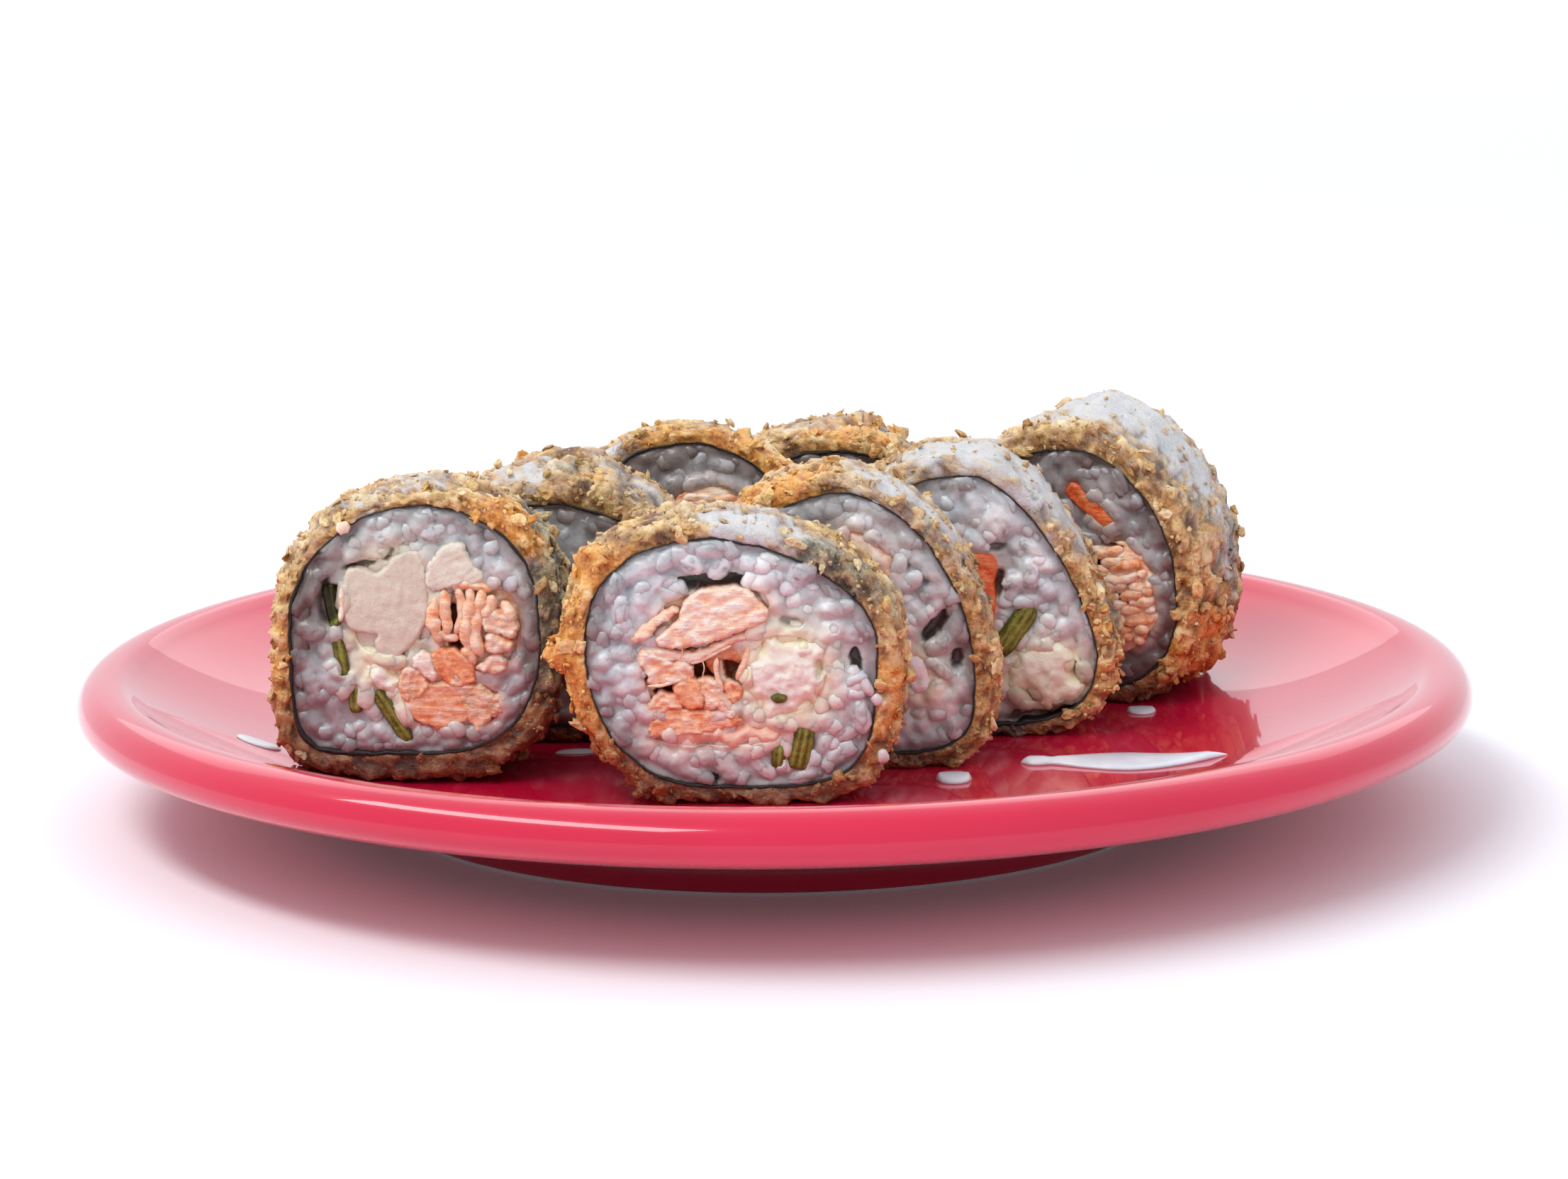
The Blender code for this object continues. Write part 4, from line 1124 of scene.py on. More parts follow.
def build_coat(piece, look):
    """The crust: a craggy shell of flakes, wet and thin in places, with loose crumbs on it."""
    seed = seed_of(piece.name)
    draw = np.random.default_rng(seed)
    plain, angle, depth, share = coat_surface(piece)
    normal = grid_normals(plain).reshape(-1, 3)
    rows, count = plain.shape[:2]
    flat = plain.reshape(-1, 3)
    wet = patches(piece, piece.film, angle[None], depth[:, None]).reshape(-1)
    thin = smooth(0.15, 0.7, wet + 0.5 * noise_at(flat, 1.7, seed) + 0.3 * noise_at(flat, 0.7, seed))
    film = smooth(0.5, 0.95, wet + 0.65 * noise_at(flat, 2.4, seed) + 0.45 * noise_at(flat, 1.0, seed))
    film = np.maximum(film, 0.35 * thin)
    fried = patches(piece, piece.fried, angle[None], depth[:, None]).reshape(-1)
    fried += 0.45 * noise_at(flat, 3.0, seed + 9) + 0.25 * noise_at(flat, 1.1, seed + 2)
    fried += 0.75 * smooth(2.0, 6.0, flat[:, 1]) * noise_at(flat, 6.5, seed + 12)
    fried = smooth(0.28, 0.95, fried) * (1 - 0.8 * film)
    bare = patches(piece, piece.bare, angle[None], depth[:, None]).reshape(-1)
    bare += 0.5 * smooth(2.0, 6.0, flat[:, 1]) * noise_at(flat, 5.0, seed + 14)
    bare = smooth(0.2, 0.8, bare + 0.4 * noise_at(flat, 2.4, seed + 4) + 0.3 * noise_at(flat, 0.9, seed + 6))
    coarse, tone = shards(flat, 2.3, seed)
    small, spark = shards(flat, 1.05, seed + 5)
    height = 0.50 * coarse + 0.30 * small + 0.45 * noise_at(flat, 1.8, seed + 3) - 0.1
    # The inside wall stays plain, next to the seaweed.
    wall = (share == 0).repeat(count)
    height = np.where(wall, 0.0, height * (1 - 0.7 * film) + 0.1 * film)
    crumbed = flat + normal * height[:, None]
    points = on_plate(to_row(piece, crumbed), COAT_GAP)
    # Painted shade: the coat is darker towards its underside, by the plate, and its crumbs take the same
    # shade.
    shade = smooth(-0.3, -0.95, np.sin(angle)[None].repeat(rows, 0).reshape(-1)) * 0.85
    values = {"film": film, "fried": fried, "bare": bare, "shade": shade}
    pile = Pile("film", "fried", "bare", "shade", "tone")
    faces = outward(points, band_faces(rows, count, closed=True))
    # Lighter on the raised flakes and darker where the surface lies low: painted shade in the creases, over
    # each flake's own tone.
    tone = 0.43 + 0.6 * np.clip(height, -0.5, 0.6) + 0.18 * tone + 0.14 * spark
    pile.add(points, faces, tone=tone, **values)

    tall, wide = (np.linalg.norm(np.gradient(plain, axis=axis), axis=-1) for axis in (0, 1))
    area = tall * wide
    clustered = 0.25 + smooth(-0.25, 0.45, noise_at(flat, 2.8, seed + 1)) + 0.6 * fried
    weight = area.reshape(-1) * (1 - 0.5 * film) * clustered * (1 + 1.2 * (flat[:, 1] < 3)) * ~wall
    weight *= points[:, 2] > plate_top(np.hypot(points[:, 0], points[:, 1])) + 0.7
    for kind in CRUMB_KINDS:
        pick = draw.choice(len(flat), kind.number, p=weight / weight.sum())
        add_crumbs(pile, piece, kind, draw, pick, crumbed, normal, values)
    pile.finish(f"{piece.name}_fried_coat", look, "coat", f"{piece.name}_coat")


def build_seaweed(piece, look):
    """The sheet around the rice, wavy, with rounded edges."""
    line, normal, _, wider = seaweed_line(piece, SHEET_SIDES)
    outside = 0.08 + 0.06 * noise_on(line, 1.2, 7.0)
    inside = outside + wider
    rings = []
    # Around the sheet's section: how far outwards as a share of its half thickness, and how deep.
    steps = (
        (-1, 0.4), (-1, 0.06), (-0.6, -0.12), (0.5, -0.12), (1, 0.05), (1, 0.4), (1, piece.depth / 2),
        (1, piece.depth), (0.5, piece.depth + 0.12), (-0.6, piece.depth + 0.12), (-1, piece.depth),
        (-1, piece.depth / 2),
    )
    for offset, depth in steps:
        wander = 0.12 * noise_on(line, 1.3, depth) if depth < 1 or depth > piece.depth - 1 else 0.0
        flat = line + normal * (offset * (outside if offset > 0 else inside))[:, None]
        rings.append(at_depth(flat, depth + wander))
    points = on_plate(to_row(piece, np.concatenate(rings)), SHEET_GAP)
    pile = Pile()
    pile.add(points, outward(points, band_faces(len(rings), len(line), closed=True)))
    pile.finish(f"{piece.name}_seaweed_sheet", look, "seaweed", f"{piece.name}_seaweed")


def filling_loop(piece, filling, count, grow=0.0, jag=0.0):
    """A filling's outline, as in the solids, with a finer ragged edge."""
    seed = seed_of(piece.name + filling.name)
    kind = KINDS[filling.kind]
    angle = circle(count, 0.5)
    parts = (np.cos(angle), np.sin(angle))
    ring = np.stack([np.sign(part) * np.abs(part) ** (2 / kind.square) for part in parts], -1)
    lobe = 1 + kind.wobble * noise_on(ring * 1.7, 1.0, seed)
    loop = ring * np.array([filling.half_width, filling.half_height]) * lobe[:, None]
    coarse = 2.4 if kind.mushy else 1.6
    ragged = noise_on(loop, coarse, seed) + 0.7 * noise_on(loop, coarse * 0.44, seed)
    loop = loop + loop_normals(loop) * (grow + jag * ragged)[:, None]
    return turned(loop, filling.tilt) + np.array(filling.place)


def cave_depth(piece, flat):
    """How far hollows at the front cut face reach in, at each point of the face."""
    total = np.zeros(len(flat))
    ragged = 0.3 * noise_on(flat, 1.1, 3.0)
    for cave in piece.caves:
        off = turned(flat - np.array([cave.u, cave.v]), -cave.tilt)
        far = np.hypot(off[:, 0] / cave.half_width, off[:, 1] / cave.half_height)
        total = np.maximum(total, cave.depth * smooth(1.2, 0.8, far + ragged))
    return total


def layers(own, seed):
    """Fine layers of flesh along the first coordinate, in mm."""
    fibres = own * np.array([0.3, 1.0])
    layer = (own[:, 1] + 0.7 * noise_on(own, 2.5, seed)) / 1.1
    saw = layer - np.floor(layer)
    return 0.2 * (saw - 0.5) + 0.2 * noise_on(fibres, 0.7, seed) + 0.1 * noise_on(fibres, 0.3, seed)


def face_height(kind, own, seed):
    """Relief of a filling's cut face, in mm, by the filling's own coordinates along and across its length."""
    if kind == "salmon":
        return 0.35 * noise_on(own, 2.2, seed) + 0.25 * noise_on(own, 1.1, seed) + layers(own, seed)
    if kind == "scallion":
        return 0.22 * np.sin(own[:, 0] * 2 * math.pi / 0.95) + 0.12 * noise_on(own, 0.9, seed)
    if kind == "crab":
        return 0.35 * noise_on(own, 1.6, seed) + 0.12 * noise_on(own, 0.9, seed)
    if kind == "fish":
        return 0.30 * noise_on(own, 3.0, seed) + 0.06 * noise_on(own, 0.9, seed)
    return 0.5 * noise_on(own, 2.2, seed) + 0.3 * noise_on(own, 1.0, seed) + 0.16 * noise_on(own, 0.5, seed)


def add_face(pile, piece, face, seed):
    """A lump on the front cut face, from its outline: a rounded front, and sides that go into the slice."""
    control = np.reshape(face.points, (-1, 2))
    if area_of(control) < 0:
        control = control[::-1]
    length = np.linalg.norm(control - np.roll(control, 1, 0), axis=1).sum()
    at = np.linspace(0, len(control), int(np.clip(length * POINTS_PER_MM, 24, 110)), endpoint=False)
    loop = line_points(at, np.arange(len(control) + 1), np.vstack([control, control[:1]]))
    for _ in range(2):
        loop = (np.roll(loop, 1, 0) + 2 * loop + np.roll(loop, -1, 0)) / 4
    ragged = face.ragged * (1.6 * noise_on(loop, 1.1, seed) + 1.2 * noise_on(loop, 0.5, seed))
    loop = loop + loop_normals(loop) * (0.2 + ragged)[:, None]
    inner = dots(loop.min(0), loop.max(0), FACE_MESH)
    flat, triangles = cut_plan(loop, [], inner[inside_depth(inner, loop) > 0.15])
    inside = np.maximum(0.0, inside_depth(flat, loop))
    along = np.linalg.svd(loop - loop.mean(0), full_matrices=False)[2][0]
    own = np.stack([flat @ along, flat @ np.array([-along[1], along[0]])], -1)
    relief = face.relief * (1.3 * noise_on(flat, 1.5, seed) + 0.7 * noise_on(flat, 0.6, seed))
    relief += min(1.0, face.relief * 3) * layers(own, seed)
    rim = smooth(0.0, 0.25, inside)
    proud = face.lift - 0.4 + 0.6 * (1 - np.exp(-inside / 0.1)) + relief * rim
    points, faces = thick_sheet(triangles, at_depth(flat, -proud), at_depth(flat, face.depth))
    # Painted shade: lighter where the relief stands out, darker at the rim and on faces sunk into the slice,
    # and the sides that go into the slice are shaded.
    tone = np.clip(0.5 + face.tone + 0.7 * relief - 0.1 * (1 - rim), 0, 1)
    shade = 0.15 * (1 - rim) + (0.25 if face.lift < -0.5 else 0.0)
    pile.add(
        to_row(piece, points), faces, tone=np.append(tone, np.full(len(flat), 0.4)),
        shade=np.append(shade, np.full(len(flat), 0.5)),
    )


def add_strand(pile, piece, strand, seed, side=-1.0, base=0.0):
    """A rounded ridge of flesh along a drawn line, partly sunk in the cut face."""
    control = np.reshape(strand.points, (-1, 2))
    length = np.linalg.norm(np.diff(control, axis=0), axis=1).sum()
    at = np.linspace(0, 1, int(np.clip(length * POINTS_PER_MM, 6, 26)))
    line = smoothed(line_points(at, np.linspace(0, 1, len(control)), control), 2)
    way = np.gradient(line, axis=0)
    way /= np.linalg.norm(way, axis=1, keepdims=True)
    aside = np.stack([way[:, 1], -way[:, 0]], -1)
    taper = np.sqrt(np.clip(1 - (2 * at - 1) ** 4, 0.02, 1))
    radius = strand.radius * taper * (1 + 0.35 * noise_on(line, 1.2, seed))
    drift = strand.radius * 0.5 * noise_on(line, 1.4, seed + 5)
    turn = circle(STRAND_SIDES)
    flat = line[:, None] + aside[:, None] * (radius[:, None] * np.cos(turn))[..., None]
    out = radius[:, None] * 0.9 * np.sin(turn) + (strand.lift + drift)[:, None]
    rough = np.concatenate([flat, out[..., None]], -1).reshape(-1, 3)
    rough = noise_at(rough, 0.8, seed) + 0.5 * noise_at(rough, 0.4, seed)
    out = out + 0.14 * min(1.0, strand.radius * 1.4) * rough.reshape(out.shape)
    points, faces = closed_rings(list(at_depth(flat, base + side * out)))
    # Painted shade: lighter on the strand's bumps and darker in its dips, over its own tone.
    tone = np.clip(0.5 + strand.tone + 0.3 * rough, 0, 1)
    pile.add(to_row(piece, points), faces, tone=np.append(tone, (0.5, 0.5)))


def add_flakes(pile, piece, filling, side, base):
    """Flakes of fish across a filling's cut face, side by side along its tilt."""
    seed = seed_of(piece.name + filling.name) + (0 if side < 0 else 50)
    draw = np.random.default_rng(seed)
    tilt = filling.tilt + draw.uniform(-12, 12)
    for row in np.arange(-filling.half_height * 0.82, filling.half_height * 0.86, FLAKE_ROW):
        half = filling.half_width * math.sqrt(max(0.0, 1 - (row / filling.half_height) ** 2)) * 0.98
        start = -half
        while start < half - 1.2:
            end = min(half, start + draw.uniform(*FLAKE_LENGTH))
            at = np.linspace(start, end, 5)
            bow = draw.uniform(-0.5, 0.5) * np.sin((at - start) / (end - start) * math.pi)
            points = np.column_stack([at, row + bow + draw.uniform(-0.25, 0.25, 5)])
            points = turned(points, tilt) + np.array(filling.place)
            width, lift, tone = draw.uniform((0.6, -0.1, -0.25), (0.95, 0.55, 0.3))
            add_strand(pile, piece, Strand(filling.name, width, lift, tone, points), seed + row, side, base)
            start = end + draw.uniform(-0.2, 0.3)


def build_filling(piece, filling, look, slot):
    """A bar that runs through the slice, with a modelled face at each end."""
    kind = KINDS[filling.kind]
    count = int(np.clip(max(filling.half_width, filling.half_height) * 14, 48, 120))
    loop = filling_loop(piece, filling, count, grow=1.3 if kind.mushy else 0.12, jag=kind.jag)
    inner = dots(loop.min(0), loop.max(0), piece.mesh)
    flat, triangles = cut_plan(loop, [], inner[inside_depth(inner, loop) > 0.15])
    inside = np.maximum(0.0, inside_depth(flat, loop))
    own = turned(flat - np.array(filling.place), -filling.tilt)
    seed = float(seed_of(piece.name + filling.name))
    drawn = [face for face in piece.faces if face.filling == filling.name]
    behind = 1.2 if drawn and not kind.lengthways else 0.1
    sheets = []
    tones = []
    painted_shade = []
    dome = kind.proud * (1 - np.exp(-inside / 0.8)) - (1.3 * smooth(2.2, 0.0, inside) if kind.mushy else 0.0)
    hollows = (behind + cave_depth(piece, flat), np.full(len(flat), 0.1))
    for side, base, hollow in zip((-1, 1), (0.0, piece.depth), hollows):
        height = dome + face_height(filling.kind, own, seed + side) * (0.2 + 0.8 * smooth(0.0, 0.6, inside))
        sheets.append(at_depth(flat, base + side * (height - hollow)))
        # Painted shade: the face is lighter where it stands out and darker where it lies low, and darker in
        # the hollows behind drawn faces and at dim spots.
        tones.append(np.clip(0.5 + 0.75 * height, 0, 1))
        dimmed = 0.8 * spots(piece.dim, flat) if side < 0 else 0.0
        painted_shade.append(np.clip(smooth(0.8, 2.4, hollow) + dimmed, 0, 1))
    points, faces = thick_sheet(triangles, *sheets)
    pile = Pile("tone", "shade", "edge")
    edge = np.tile(1 - smooth(0.0, 1.8, inside + 0.6 * noise_on(flat, 1.5, seed)), 2)
    pile.add(to_row(piece, points), faces, tone=np.concatenate(tones), shade=np.concatenate(painted_shade), edge=edge)
    for number, face in enumerate(drawn):
        add_face(pile, piece, face, seed + number * 11)
    for number, strand in enumerate(strand for strand in piece.strands if strand.filling == filling.name):
        add_strand(pile, piece, strand, seed + number * 7)
    if filling.kind == "salmon":
        add_flakes(pile, piece, filling, 1.0, piece.depth)
        if not drawn:
            add_flakes(pile, piece, filling, -1.0, 0.0)
    pile.finish(f"{piece.name}_{filling.name}_bar", look, slot, f"{piece.name}_{filling.name}")


def grain_shape():
    """A rice grain one unit long, wide and thick: points and faces."""
    rings = []
    turn = circle(GRAIN_SIDES)
    for t in np.linspace(-1, 1, GRAIN_RINGS + 2)[1:-1]:
        x = math.sin(t * math.pi / 2)
        radius = (1 - abs(x) ** 2.6) ** (1 / 2.6)
        rings.append(np.stack([np.full(GRAIN_SIDES, x), radius * np.cos(turn), radius * np.sin(turn)], -1))
    points, faces = closed_rings(rings)
    points[-2:] = (-1.0, 0, 0), (1.0, 0, 0)
    return points / 2, faces


GRAIN, GRAIN_FACES = grain_shape()


def tints(piece, flat, loops):
    """How much each point of the rice takes after the salmon and the cream near it."""
    peach = np.zeros(len(flat))
    ivory = np.zeros(len(flat))
    for filling, loop in zip(piece.fillings, loops):
        away = np.maximum(0.0, -inside_depth(flat, loop))
        if filling.kind in ("salmon", "smear", "crab"):
            peach = np.maximum(peach, 0.85 * np.exp(-away / (1.6 if filling.kind == "smear" else 0.8)))
        if filling.kind in ("cream", "cheese", "fish"):
            ivory = np.maximum(ivory, np.exp(-away / 2.2))
    return peach, np.maximum(ivory, np.clip(spots(piece.creamy, flat), 0, 1))


def rice_relief(piece, flat, outline, side):
    """How far the rice's cut face stands out, in mm, before its hollows."""
    seed = seed_of(piece.name) + side
    swell = 0.5 * noise_on(flat, 2.6, seed) + 0.25 * noise_on(flat, 1.1, seed) - 0.15
    if side < 0:
        swell = swell + 0.9 * spots(piece.clumps, flat)
    return swell * smooth(0.0, 1.3, inside_depth(flat, outline))


def rice_shade(piece, flat, outline, side):
    """How dark the rice is: darker near the seaweed, and with painted shade on slices whose rice gets less
    light, on back faces and at dim spots; clumps and creamy spots are lighter.
    """
    edge = 1 - smooth(0.1, 3.0, inside_depth(flat, outline) + 1.0 * noise_on(flat, 3.0, 2.0))
    if side > 0:
        return np.clip(0.1 + 0.5 * edge, 0, 1)
    marked = spots(piece.dim, flat) - 0.5 * spots(piece.clumps, flat) - 0.6 * spots(piece.creamy, flat)
    return np.clip(1 - piece.rice + 0.6 * edge + marked, 0, 1)


def grain_headings(draw, spot, length, outline, loops):
    """A heading for each grain that keeps its ends inside the rice if it can, and how much room they have."""
    best = np.full(len(spot), -math.inf)
    heading = np.zeros(len(spot))
    for _ in range(HEADING_TRIES):
        angle = draw.uniform(0, math.pi, len(spot))
        way = np.stack([np.cos(angle), np.sin(angle)], -1) * (length * 0.42)[:, None]
        room = np.full(len(spot), 0.7)
        for end in (spot + way, spot - way):
            room = np.minimum(room, inside_depth(end, outline))
            for loop in loops:
                room = np.minimum(room, -inside_depth(end, loop))
        better = room > best
        best[better] = room[better]
        heading[better] = angle[better]
    return heading, best


def place_grains(draw, grains, side, base):
    """Points and faces of grains on a cut face, each bent and dented in its own way."""
    number = len(grains["spot"])
    heading, pitch = grains["heading"], grains["pitch"]
    first = np.stack([np.cos(heading) * np.cos(pitch), np.sin(pitch), np.sin(heading) * np.cos(pitch)], -1)
    second = np.cross(first, np.array([0.0, 1.0, 0.0]))
    second /= np.maximum(np.linalg.norm(second, axis=1, keepdims=True), 1e-6)
    frames = np.stack([first, second, np.cross(first, second)], 1)
    shapes = np.broadcast_to(GRAIN, (number, *GRAIN.shape)).copy()
    shapes[:, :, 1] += draw.uniform(-0.5, 0.5, number)[:, None] * (shapes[:, :, 0] ** 2 - 0.1)
    own = (shapes * 2.6 + np.arange(number)[:, None, None] * 5.3).reshape(-1, 3)
    dents = 0.26 * noise_at(own, 1.0) + 0.10 * noise_at(own, 0.5)
    shapes *= 1 + dents.reshape(number, -1, 1)
    centre = at_depth(grains["spot"], base + side * grains["lift"])
    return scatter(shapes, GRAIN_FACES, centre, frames, grains["sizes"])


def lay_grains(piece, draw, side, outline, loops, clear):
    """Where the grains of a cut face lie, and their sizes and tilts."""
    spacing = FRONT_SPACING if side < 0 else BACK_SPACING
    spot = spread(draw, outline.min(0), outline.max(0), spacing, clear)
    if side < 0:
        spot = spot[cave_depth(piece, spot) < 0.3]
    number = len(spot)
    length = draw.uniform(*GRAIN_LENGTH, number)
    heading, room = grain_headings(draw, spot, length, outline, loops)
    length = np.where(room < 0.1, length * 0.6, length)
    pitch = np.clip(draw.normal(0, 0.3, number), -0.8, 0.8)
    lift = rice_relief(piece, spot, outline, side) + draw.uniform(-1.05, -0.3, number)
    lift -= 0.17 * length * np.abs(np.sin(pitch))
    sizes = np.stack([length, draw.uniform(*GRAIN_WIDTH, number), draw.uniform(*GRAIN_THICKNESS, number)], -1)
    return {"spot": spot, "lift": lift, "heading": heading, "pitch": pitch, "sizes": sizes}


def mushiness(flat, side):
    """Where the rice is pressed to a soft mass: 1, and where its grains show: 0."""
    return smooth(0.0, 0.35, noise_on(flat, 4.5, 8.0 + side))


def fused_height(flat, grains, side):
    """The height of the soft mass that joins the grains."""
    fusion = FUSION + MUSH_FUSION * mushiness(flat, side)
    total = np.exp(-1.0 / fusion)
    for spot, lift, heading, pitch, sizes in zip(*grains.values()):
        way = np.array([math.cos(heading), math.sin(heading)])
        off = flat - spot
        along = off @ way
        across = off @ np.array([-way[1], way[0]])
        half_length = sizes[0] / 2 * math.cos(pitch) + 0.35
        q = (along / half_length) ** 2 + (across / (sizes[1] / 2 + 0.25)) ** 2
        near = q < 3
        height = lift + along[near] * math.tan(pitch) * 0.6 + sizes[2] / 2 * (1 - q[near] ** 1.3)
        total[near] += np.exp(height / fusion[near])
    return fusion * np.log(total)


def add_grains(pile, piece, draw, side, base, grains, outline, loops):
    """Separate grains on a cut face, pressed flatter where they stand out too far."""
    spot = grains["spot"]
    number = len(spot)
    proud = (draw.uniform(size=number) < PROUD_GRAINS) & (mushiness(spot, side) < 0.5)
    lift = grains["lift"] + np.where(proud, GRAIN_OUT, GRAIN_IN)
    points, every = place_grains(draw, {**grains, "lift": lift}, side, base)
    height = side * (points[:, 1] - base)
    cut = 0.5 + 0.7 * np.repeat(spots(piece.clumps, spot) if side < 0 else np.zeros(number), len(GRAIN))
    points[:, 1] = base + side * np.where(height > cut, cut + (height - cut) * 0.3, height)
    peach, ivory = tints(piece, spot, loops)
    own = {
        "tone": draw.uniform(0.5, 0.85, number),
        "peach": peach * draw.uniform(0.3, 1.0, number),
        "ivory": ivory * 0.9,
        "shade": rice_shade(piece, spot, outline, side),
    }
    pile.add(to_row(piece, points), every, **repeated(own, len(GRAIN)))


def build_rice(piece, look):
    """The soft mass of rice around the fillings, with its grains and those that lie loose."""
    draw = np.random.default_rng(seed_of(piece.name))
    line, normal, _, wider = seaweed_line(piece, RICE_SIDES)
    outline = line - normal * (0.05 + 0.06 * noise_on(line, 1.0, 1.0) + wider)[:, None]
    loops = [filling_loop(piece, filling, HOLE_SIDES) for filling in piece.fillings]
    holes = [filling_loop(piece, filling, HOLE_SIDES, grow=-0.1) for filling in piece.fillings]

    def clear(points, edge, gap, over):
        good = inside_depth(points, outline) > edge
        for filling, loop in zip(piece.fillings, loops):
            good &= inside_depth(points, loop) < (over if KINDS[filling.kind].mushy else -gap)
        return good

    inner = dots(outline.min(0), outline.max(0), piece.mesh)
    flat, triangles = cut_plan(outline, holes, inner[clear(inner, 0.2, 0.0, 0.0)])
    peach, ivory = tints(piece, flat, loops)
    hollow = cave_depth(piece, flat)
    rim = smooth(0.0, 1.0, inside_depth(flat, outline))
    pile = Pile("tone", "peach", "ivory", "shade")
    sheets = []
    shades = []
    tones = []
    for side, base, caved in ((-1, 0.0, hollow), (1, piece.depth, 0.0 * hollow)):
        grains = lay_grains(piece, draw, side, outline, loops, lambda points: clear(points, 0.8, 0.3, 1.8))
        fused = fused_height(flat, grains, side)
        fused = fused + 0.14 * noise_on(flat, 0.9, side) + 0.08 * noise_on(flat, 0.45, side)
        relief = -0.25 * (1 - rim) + np.clip(fused, -0.75, 1.4) * rim - caved
        sheets.append(at_depth(flat, base + side * relief))
        # Painted shade: the mass is lighter where it stands out and darker between the grains, and the caves
        # are darker.
        tones.append(0.52 + 0.3 * noise_on(flat, 1.6, 4.0) + 0.35 * np.clip(fused - 0.1, -0.6, 0.5))
        shades.append(np.clip(rice_shade(piece, flat, outline, side) + 0.8 * smooth(0.5, 2.0, caved), 0, 1))
        add_grains(pile, piece, draw, side, base, grains, outline, loops)
    points, faces = thick_sheet(triangles, *sheets)
    pile.add(
        to_row(piece, points), faces, tone=np.concatenate(tones), peach=np.tile(peach, 2),
        ivory=np.tile(ivory, 2), shade=np.concatenate(shades),
    )
    if piece.strays:
        u, v, lift, heading, length, pink = np.array(piece.strays).T
        loose = {
            "spot": np.stack([u, v], -1),
            "lift": lift,
            "heading": np.radians(heading),
            "pitch": np.zeros(len(u)),
            "sizes": np.stack([length, np.full(len(u), 1.6), np.full(len(u), 1.4)], -1),
        }
        points, every = place_grains(draw, loose, -1, 0.0)
        pile.add(to_row(piece, points), every, tone=0.6, peach=np.repeat(pink, len(GRAIN)))
    pile.finish(f"{piece.name}_rice_grains", look, "rice", f"{piece.name}_rice")


def build_plate(look):
    """The plate: its section turned about Z, as radii and heights from the middle out, under and back."""
    floor = [(6.0, FLOOR_HEIGHT), (20.0, FLOOR_HEIGHT), (40.0, FLOOR_HEIGHT), (50.0, FLOOR_HEIGHT)]
    well = [(r, float(plate_top(r))) for r in np.linspace(FLOOR_RADIUS, CREST_RADIUS - 2.5, 22)]
    lip = [
        (93.2, 20.75), (94.3, 21.02), (95.4, 21.10), (96.5, 20.98), (97.6, 20.62), (98.6, 20.0),
        (99.35, 19.15), (99.8, 18.2), (100.0, 17.2), (99.85, 16.2), (99.3, 15.3), (98.2, 14.5),
        (96.8, 13.9), (95.0, 13.3),
    ]
    below = [(90.0, 12.0), (85.0, 10.7), (80.0, 9.5), (74.0, 7.9), (68.0, 6.3), (63.0, 5.0), (60.0, 4.0)]
    foot = [
        (58.9, 3.2), (58.2, 2.0), (57.8, 1.0), (57.55, 0.5), (57.2, 0.12), (56.8, 0.0), (55.5, 0.0),
        (54.2, 0.0), (53.8, 0.12), (53.4, 0.6), (52.9, 2.2), (52.4, 3.4), (51.4, 4.0), (40.0, 4.0),
        (20.0, 4.0), (6.0, 4.0),
    ]
    turn = circle(PLATE_SIDES)
    rings = [
        np.stack([r * np.cos(turn), r * np.sin(turn), np.full(PLATE_SIDES, z)], -1)
        for r, z in floor + well + lip + below + foot
    ]
    pile = Pile()
    pile.add(*closed_rings(rings))
    pile.finish("glazed_plate", look, "glaze", "plate")


def build_sauce(name, look, nodes, widths, start, end, height, rows=40):
    """A drop or smear of sauce along a line, from its half widths along the way."""
    start = np.array(start)
    end = np.array(end)
    way = (end - start) / np.linalg.norm(end - start)
    aside = np.array([-way[1], way[0]])
    share = np.linspace(0, 1, rows)
    half = smoothed(np.interp(share, *zip(*widths)), 3)
    across = np.linspace(-1, 1, SAUCE_SIDES)
    rings = []
    for along, wide in zip(share, half):
        flat = start + (end - start) * along + aside * (across * wide)[:, None]
        rest = plate_top(np.hypot(flat[:, 0], flat[:, 1])) + SAUCE_GAP
        rise = height * np.sqrt(np.clip(1 - across**2, 0, 1)) * min(1.0, wide / 1.6) ** 0.7
        top = np.column_stack([flat, rest + 0.01 + rise])
        under = np.column_stack([flat, rest])
        rings.append(np.concatenate([top, under[::-1][1:-1]]))
    pile = Pile()
    pile.add(*closed_rings(rings))
    pile.finish(name, look, "sauce", *nodes)


def round_widths(half_width):
    """Half widths of an ellipse along its length."""
    shares = np.linspace(0, 1, 15)
    return [(share, half_width * math.sqrt(max(0.0, 1 - (2 * share - 1) ** 2)) + 0.01) for share in shares]


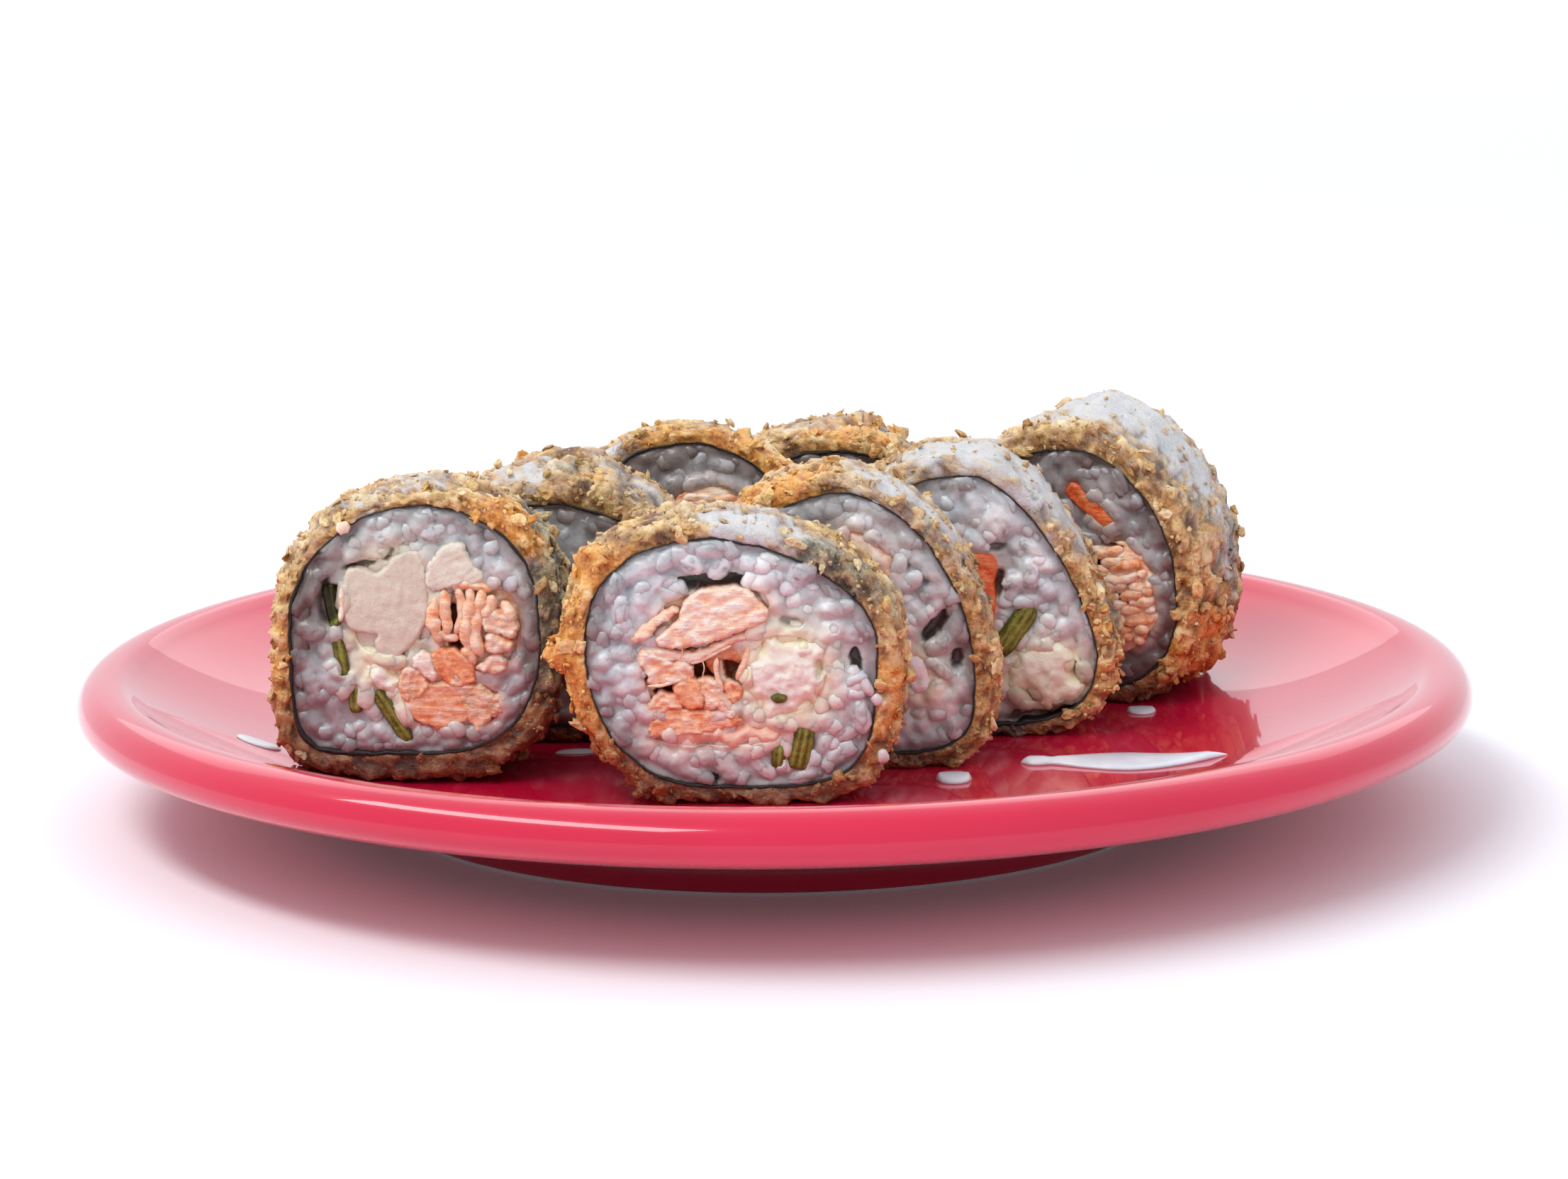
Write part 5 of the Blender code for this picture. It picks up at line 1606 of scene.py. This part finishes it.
def build_all_sauce(look):
    """The long smear with its first drop, and the single drops."""
    smear = [
        (0.0, 0.02), (0.03, 1.5), (0.07, 2.0), (0.11, 1.7), (0.15, 1.2), (0.20, 1.9), (0.30, 3.4),
        (0.42, 4.6), (0.52, 5.0), (0.64, 4.5), (0.78, 3.2), (0.90, 1.6), (0.97, 0.5), (1.0, 0.02),
    ]
    nodes = ("sauce_smear", "sauce_dot")
    build_sauce("sauce_smear_wet", look, nodes, smear, (34.4, -21.0), (63.4, -22.2), 0.95, rows=90)
    for name, nodes, place, half_length, half_width, tilt, height in (
        ("sauce_front", ("sauce_drop_front",), (24.6, -30.9), 2.5, 2.9, 0.0, 1.0),
        ("sauce_right", ("sauce_drop_right",), (54.3, 11.8), 2.2, 2.4, 0.0, 0.7),
        ("sauce_left", ("sauce_drop_left",), (-72.8, -17.6), 3.4, 2.2, -20.0, 0.5),
        ("sauce_between", (), (-28.2, -11.6), 3.2, 1.5, 8.0, 0.4),
    ):
        way = np.array([math.cos(math.radians(tilt)), math.sin(math.radians(tilt))]) * half_length
        start = np.array(place) - way
        end = np.array(place) + way
        build_sauce(name, look, nodes, round_widths(half_width), start, end, height)


looks = {
    "coat": crust_look(),
    "seaweed": seaweed_look(),
    "rice": rice_look(),
    "salmon": flesh_look(
        "cooked_salmon",
        (
            (0.15, (0.66, 0.19, 0.06)), (0.36, (0.94, 0.41, 0.19)), (0.54, (1.0, 0.66, 0.44)),
            (0.78, (1.0, 0.92, 0.82)),
        ),
        (0.30, 0.06, 0.02), (1.0, 0.45, 0.25), fibre=0.6,
    ),
    "smear": flesh_look(
        "salmon_smear",
        ((0.2, (0.88, 0.42, 0.26)), (0.5, (0.96, 0.62, 0.44)), (0.8, (0.99, 0.84, 0.72))),
        (0.45, 0.18, 0.10), (1.0, 0.6, 0.4), weight=0.6, edge=0.35,
    ),
    "cream": flesh_look(
        "soft_cream",
        (
            (0.12, (0.92, 0.74, 0.50)), (0.34, (0.94, 0.90, 0.62)), (0.52, (0.95, 0.97, 0.74)),
            (0.8, (0.96, 0.98, 0.86)),
        ),
        (0.55, 0.42, 0.26), (1.0, 0.9, 0.7), weight=0.6, edge=0.08,
    ),
    "cheese": flesh_look(
        "white_cheese",
        ((0.2, (0.95, 0.95, 0.92)), (0.8, (1.0, 1.0, 1.0))),
        (0.5, 0.45, 0.35), (1.0, 0.95, 0.85),
    ),
    "fish": flesh_look(
        "white_fish",
        ((0.2, (0.64, 0.56, 0.45)), (0.5, (0.75, 0.70, 0.58)), (0.85, (0.90, 0.88, 0.78))),
        (0.50, 0.34, 0.26), (1.0, 0.8, 0.7), weight=0.6,
    ),
    "crab": flesh_look(
        "crab_strip",
        ((0.2, (0.38, 0.035, 0.012)), (0.5, (0.80, 0.13, 0.028)), (0.8, (0.90, 0.36, 0.14))),
        (0.25, 0.03, 0.01), (1.0, 0.35, 0.2), fibre=0.5,
    ),
    "scallion": flesh_look(
        "scallion_strip",
        ((0.25, (0.018, 0.020, 0.002)), (0.5, (0.095, 0.098, 0.008)), (0.75, (0.36, 0.36, 0.07))),
        (0.01, 0.01, 0.002), (0.6, 0.8, 0.3), weight=0.15, gloss=0.35,
    ),
    "sauce": sauce_look(),
    "glaze": glaze_look(),
}
SLOTS = {"smear": "salmon", "cheese": "cream", "fish": "white_fish"}

for slice_piece in SLICES:
    build_coat(slice_piece, looks["coat"])
    build_seaweed(slice_piece, looks["seaweed"])
    build_rice(slice_piece, looks["rice"])
    for part in slice_piece.fillings:
        build_filling(slice_piece, part, looks[part.kind], SLOTS.get(part.kind, part.kind))
build_plate(looks["glaze"])
build_all_sauce(looks["sauce"])


def build_stage():
    """A pale floor, a soft room that is brighter behind, and lamps over the plate and the far floor."""
    far = 6.0
    mesh = bpy.data.meshes.new("floor")
    mesh.from_pydata([(-far, -far, 0), (far, -far, 0), (far, far, 0), (-far, far, 0)], [], [(0, 1, 2, 3)])
    floor = new_object("floor", mesh)
    paint = Paint("pale_cloth")
    weave = paint.noise(0.6, 2, 0.5)
    colour = paint.ramp(weave, (0.3, (0.905, 0.935, 0.975)), (0.7, (0.92, 0.95, 0.985)))
    paint.set(Base_Color=colour, Roughness=0.9, Specular_IOR_Level=0.1)
    mesh.materials.append(paint.material)

    world = bpy.data.worlds.new("soft_room")
    world.use_nodes = True
    nodes = world.node_tree.nodes
    links = world.node_tree.links
    ramp = nodes.new("ShaderNodeMapRange")
    ramp.interpolation_type = "SMOOTHSTEP"
    separate = nodes.new("ShaderNodeSeparateXYZ")
    links.new(nodes.new("ShaderNodeTexCoord").outputs["Generated"], separate.inputs[0])
    links.new(separate.outputs["Y"], ramp.inputs["Value"])
    ramp.inputs["From Min"].default_value = -0.3
    ramp.inputs["From Max"].default_value = 0.6
    ramp.inputs["To Min"].default_value = 0.84
    ramp.inputs["To Max"].default_value = 0.98
    nodes["Background"].inputs["Color"].default_value = (0.96, 0.95, 1.0, 1.0)
    links.new(ramp.outputs["Result"], nodes["Background"].inputs["Strength"])
    bpy.context.scene.world = world

    for name, place, aim, size, watts in (
        ("soft_lamp", (-0.55, -0.36, 1.0), (0.0, 0.0, 0.02), (1.1, 0.24), 7.5),
        ("far_floor_lamp", (0.0, 2.9, 1.7), (0.0, 2.6, 0.0), (3.4, 2.4), 17.0),
    ):
        lamp = bpy.data.lights.new(name, "AREA")
        lamp.shape = "RECTANGLE"
        lamp.size, lamp.size_y = size
        lamp.energy = watts
        holder = new_object(name, lamp)
        holder.location = place
        holder.rotation_euler = (Vector(aim) - Vector(place)).to_track_quat("-Z", "Y").to_euler()


def build_camera():
    """A camera at the photograph's place and angle."""
    pitch, yaw, roll = (math.radians(degrees) for degrees in (CAMERA_PITCH, CAMERA_YAW, CAMERA_ROLL))
    forward = np.array([math.sin(yaw) * math.cos(pitch), math.cos(yaw) * math.cos(pitch), -math.sin(pitch)])
    right = np.array([math.cos(yaw), -math.sin(yaw), 0.0])
    up = np.cross(right, forward)
    lens = bpy.data.cameras.new("camera")
    lens.sensor_fit = "HORIZONTAL"
    lens.sensor_width = SENSOR_WIDTH
    lens.lens = FOCAL_LENGTH * SENSOR_WIDTH / PHOTO_WIDTH
    lens.clip_start = 0.01
    lens.clip_end = 50.0
    camera = new_object("camera", lens)
    matrix = np.eye(4)
    matrix[:3, 0] = math.cos(roll) * right + math.sin(roll) * up
    matrix[:3, 1] = -math.sin(roll) * right + math.cos(roll) * up
    matrix[:3, 2] = -forward
    matrix[:3, 3] = np.array(CAMERA_PLACE) * MM
    camera.matrix_world = Matrix(matrix.tolist())
    bpy.context.scene.camera = camera


build_stage()
build_camera()
bpy.context.scene.view_settings.view_transform = "Standard"
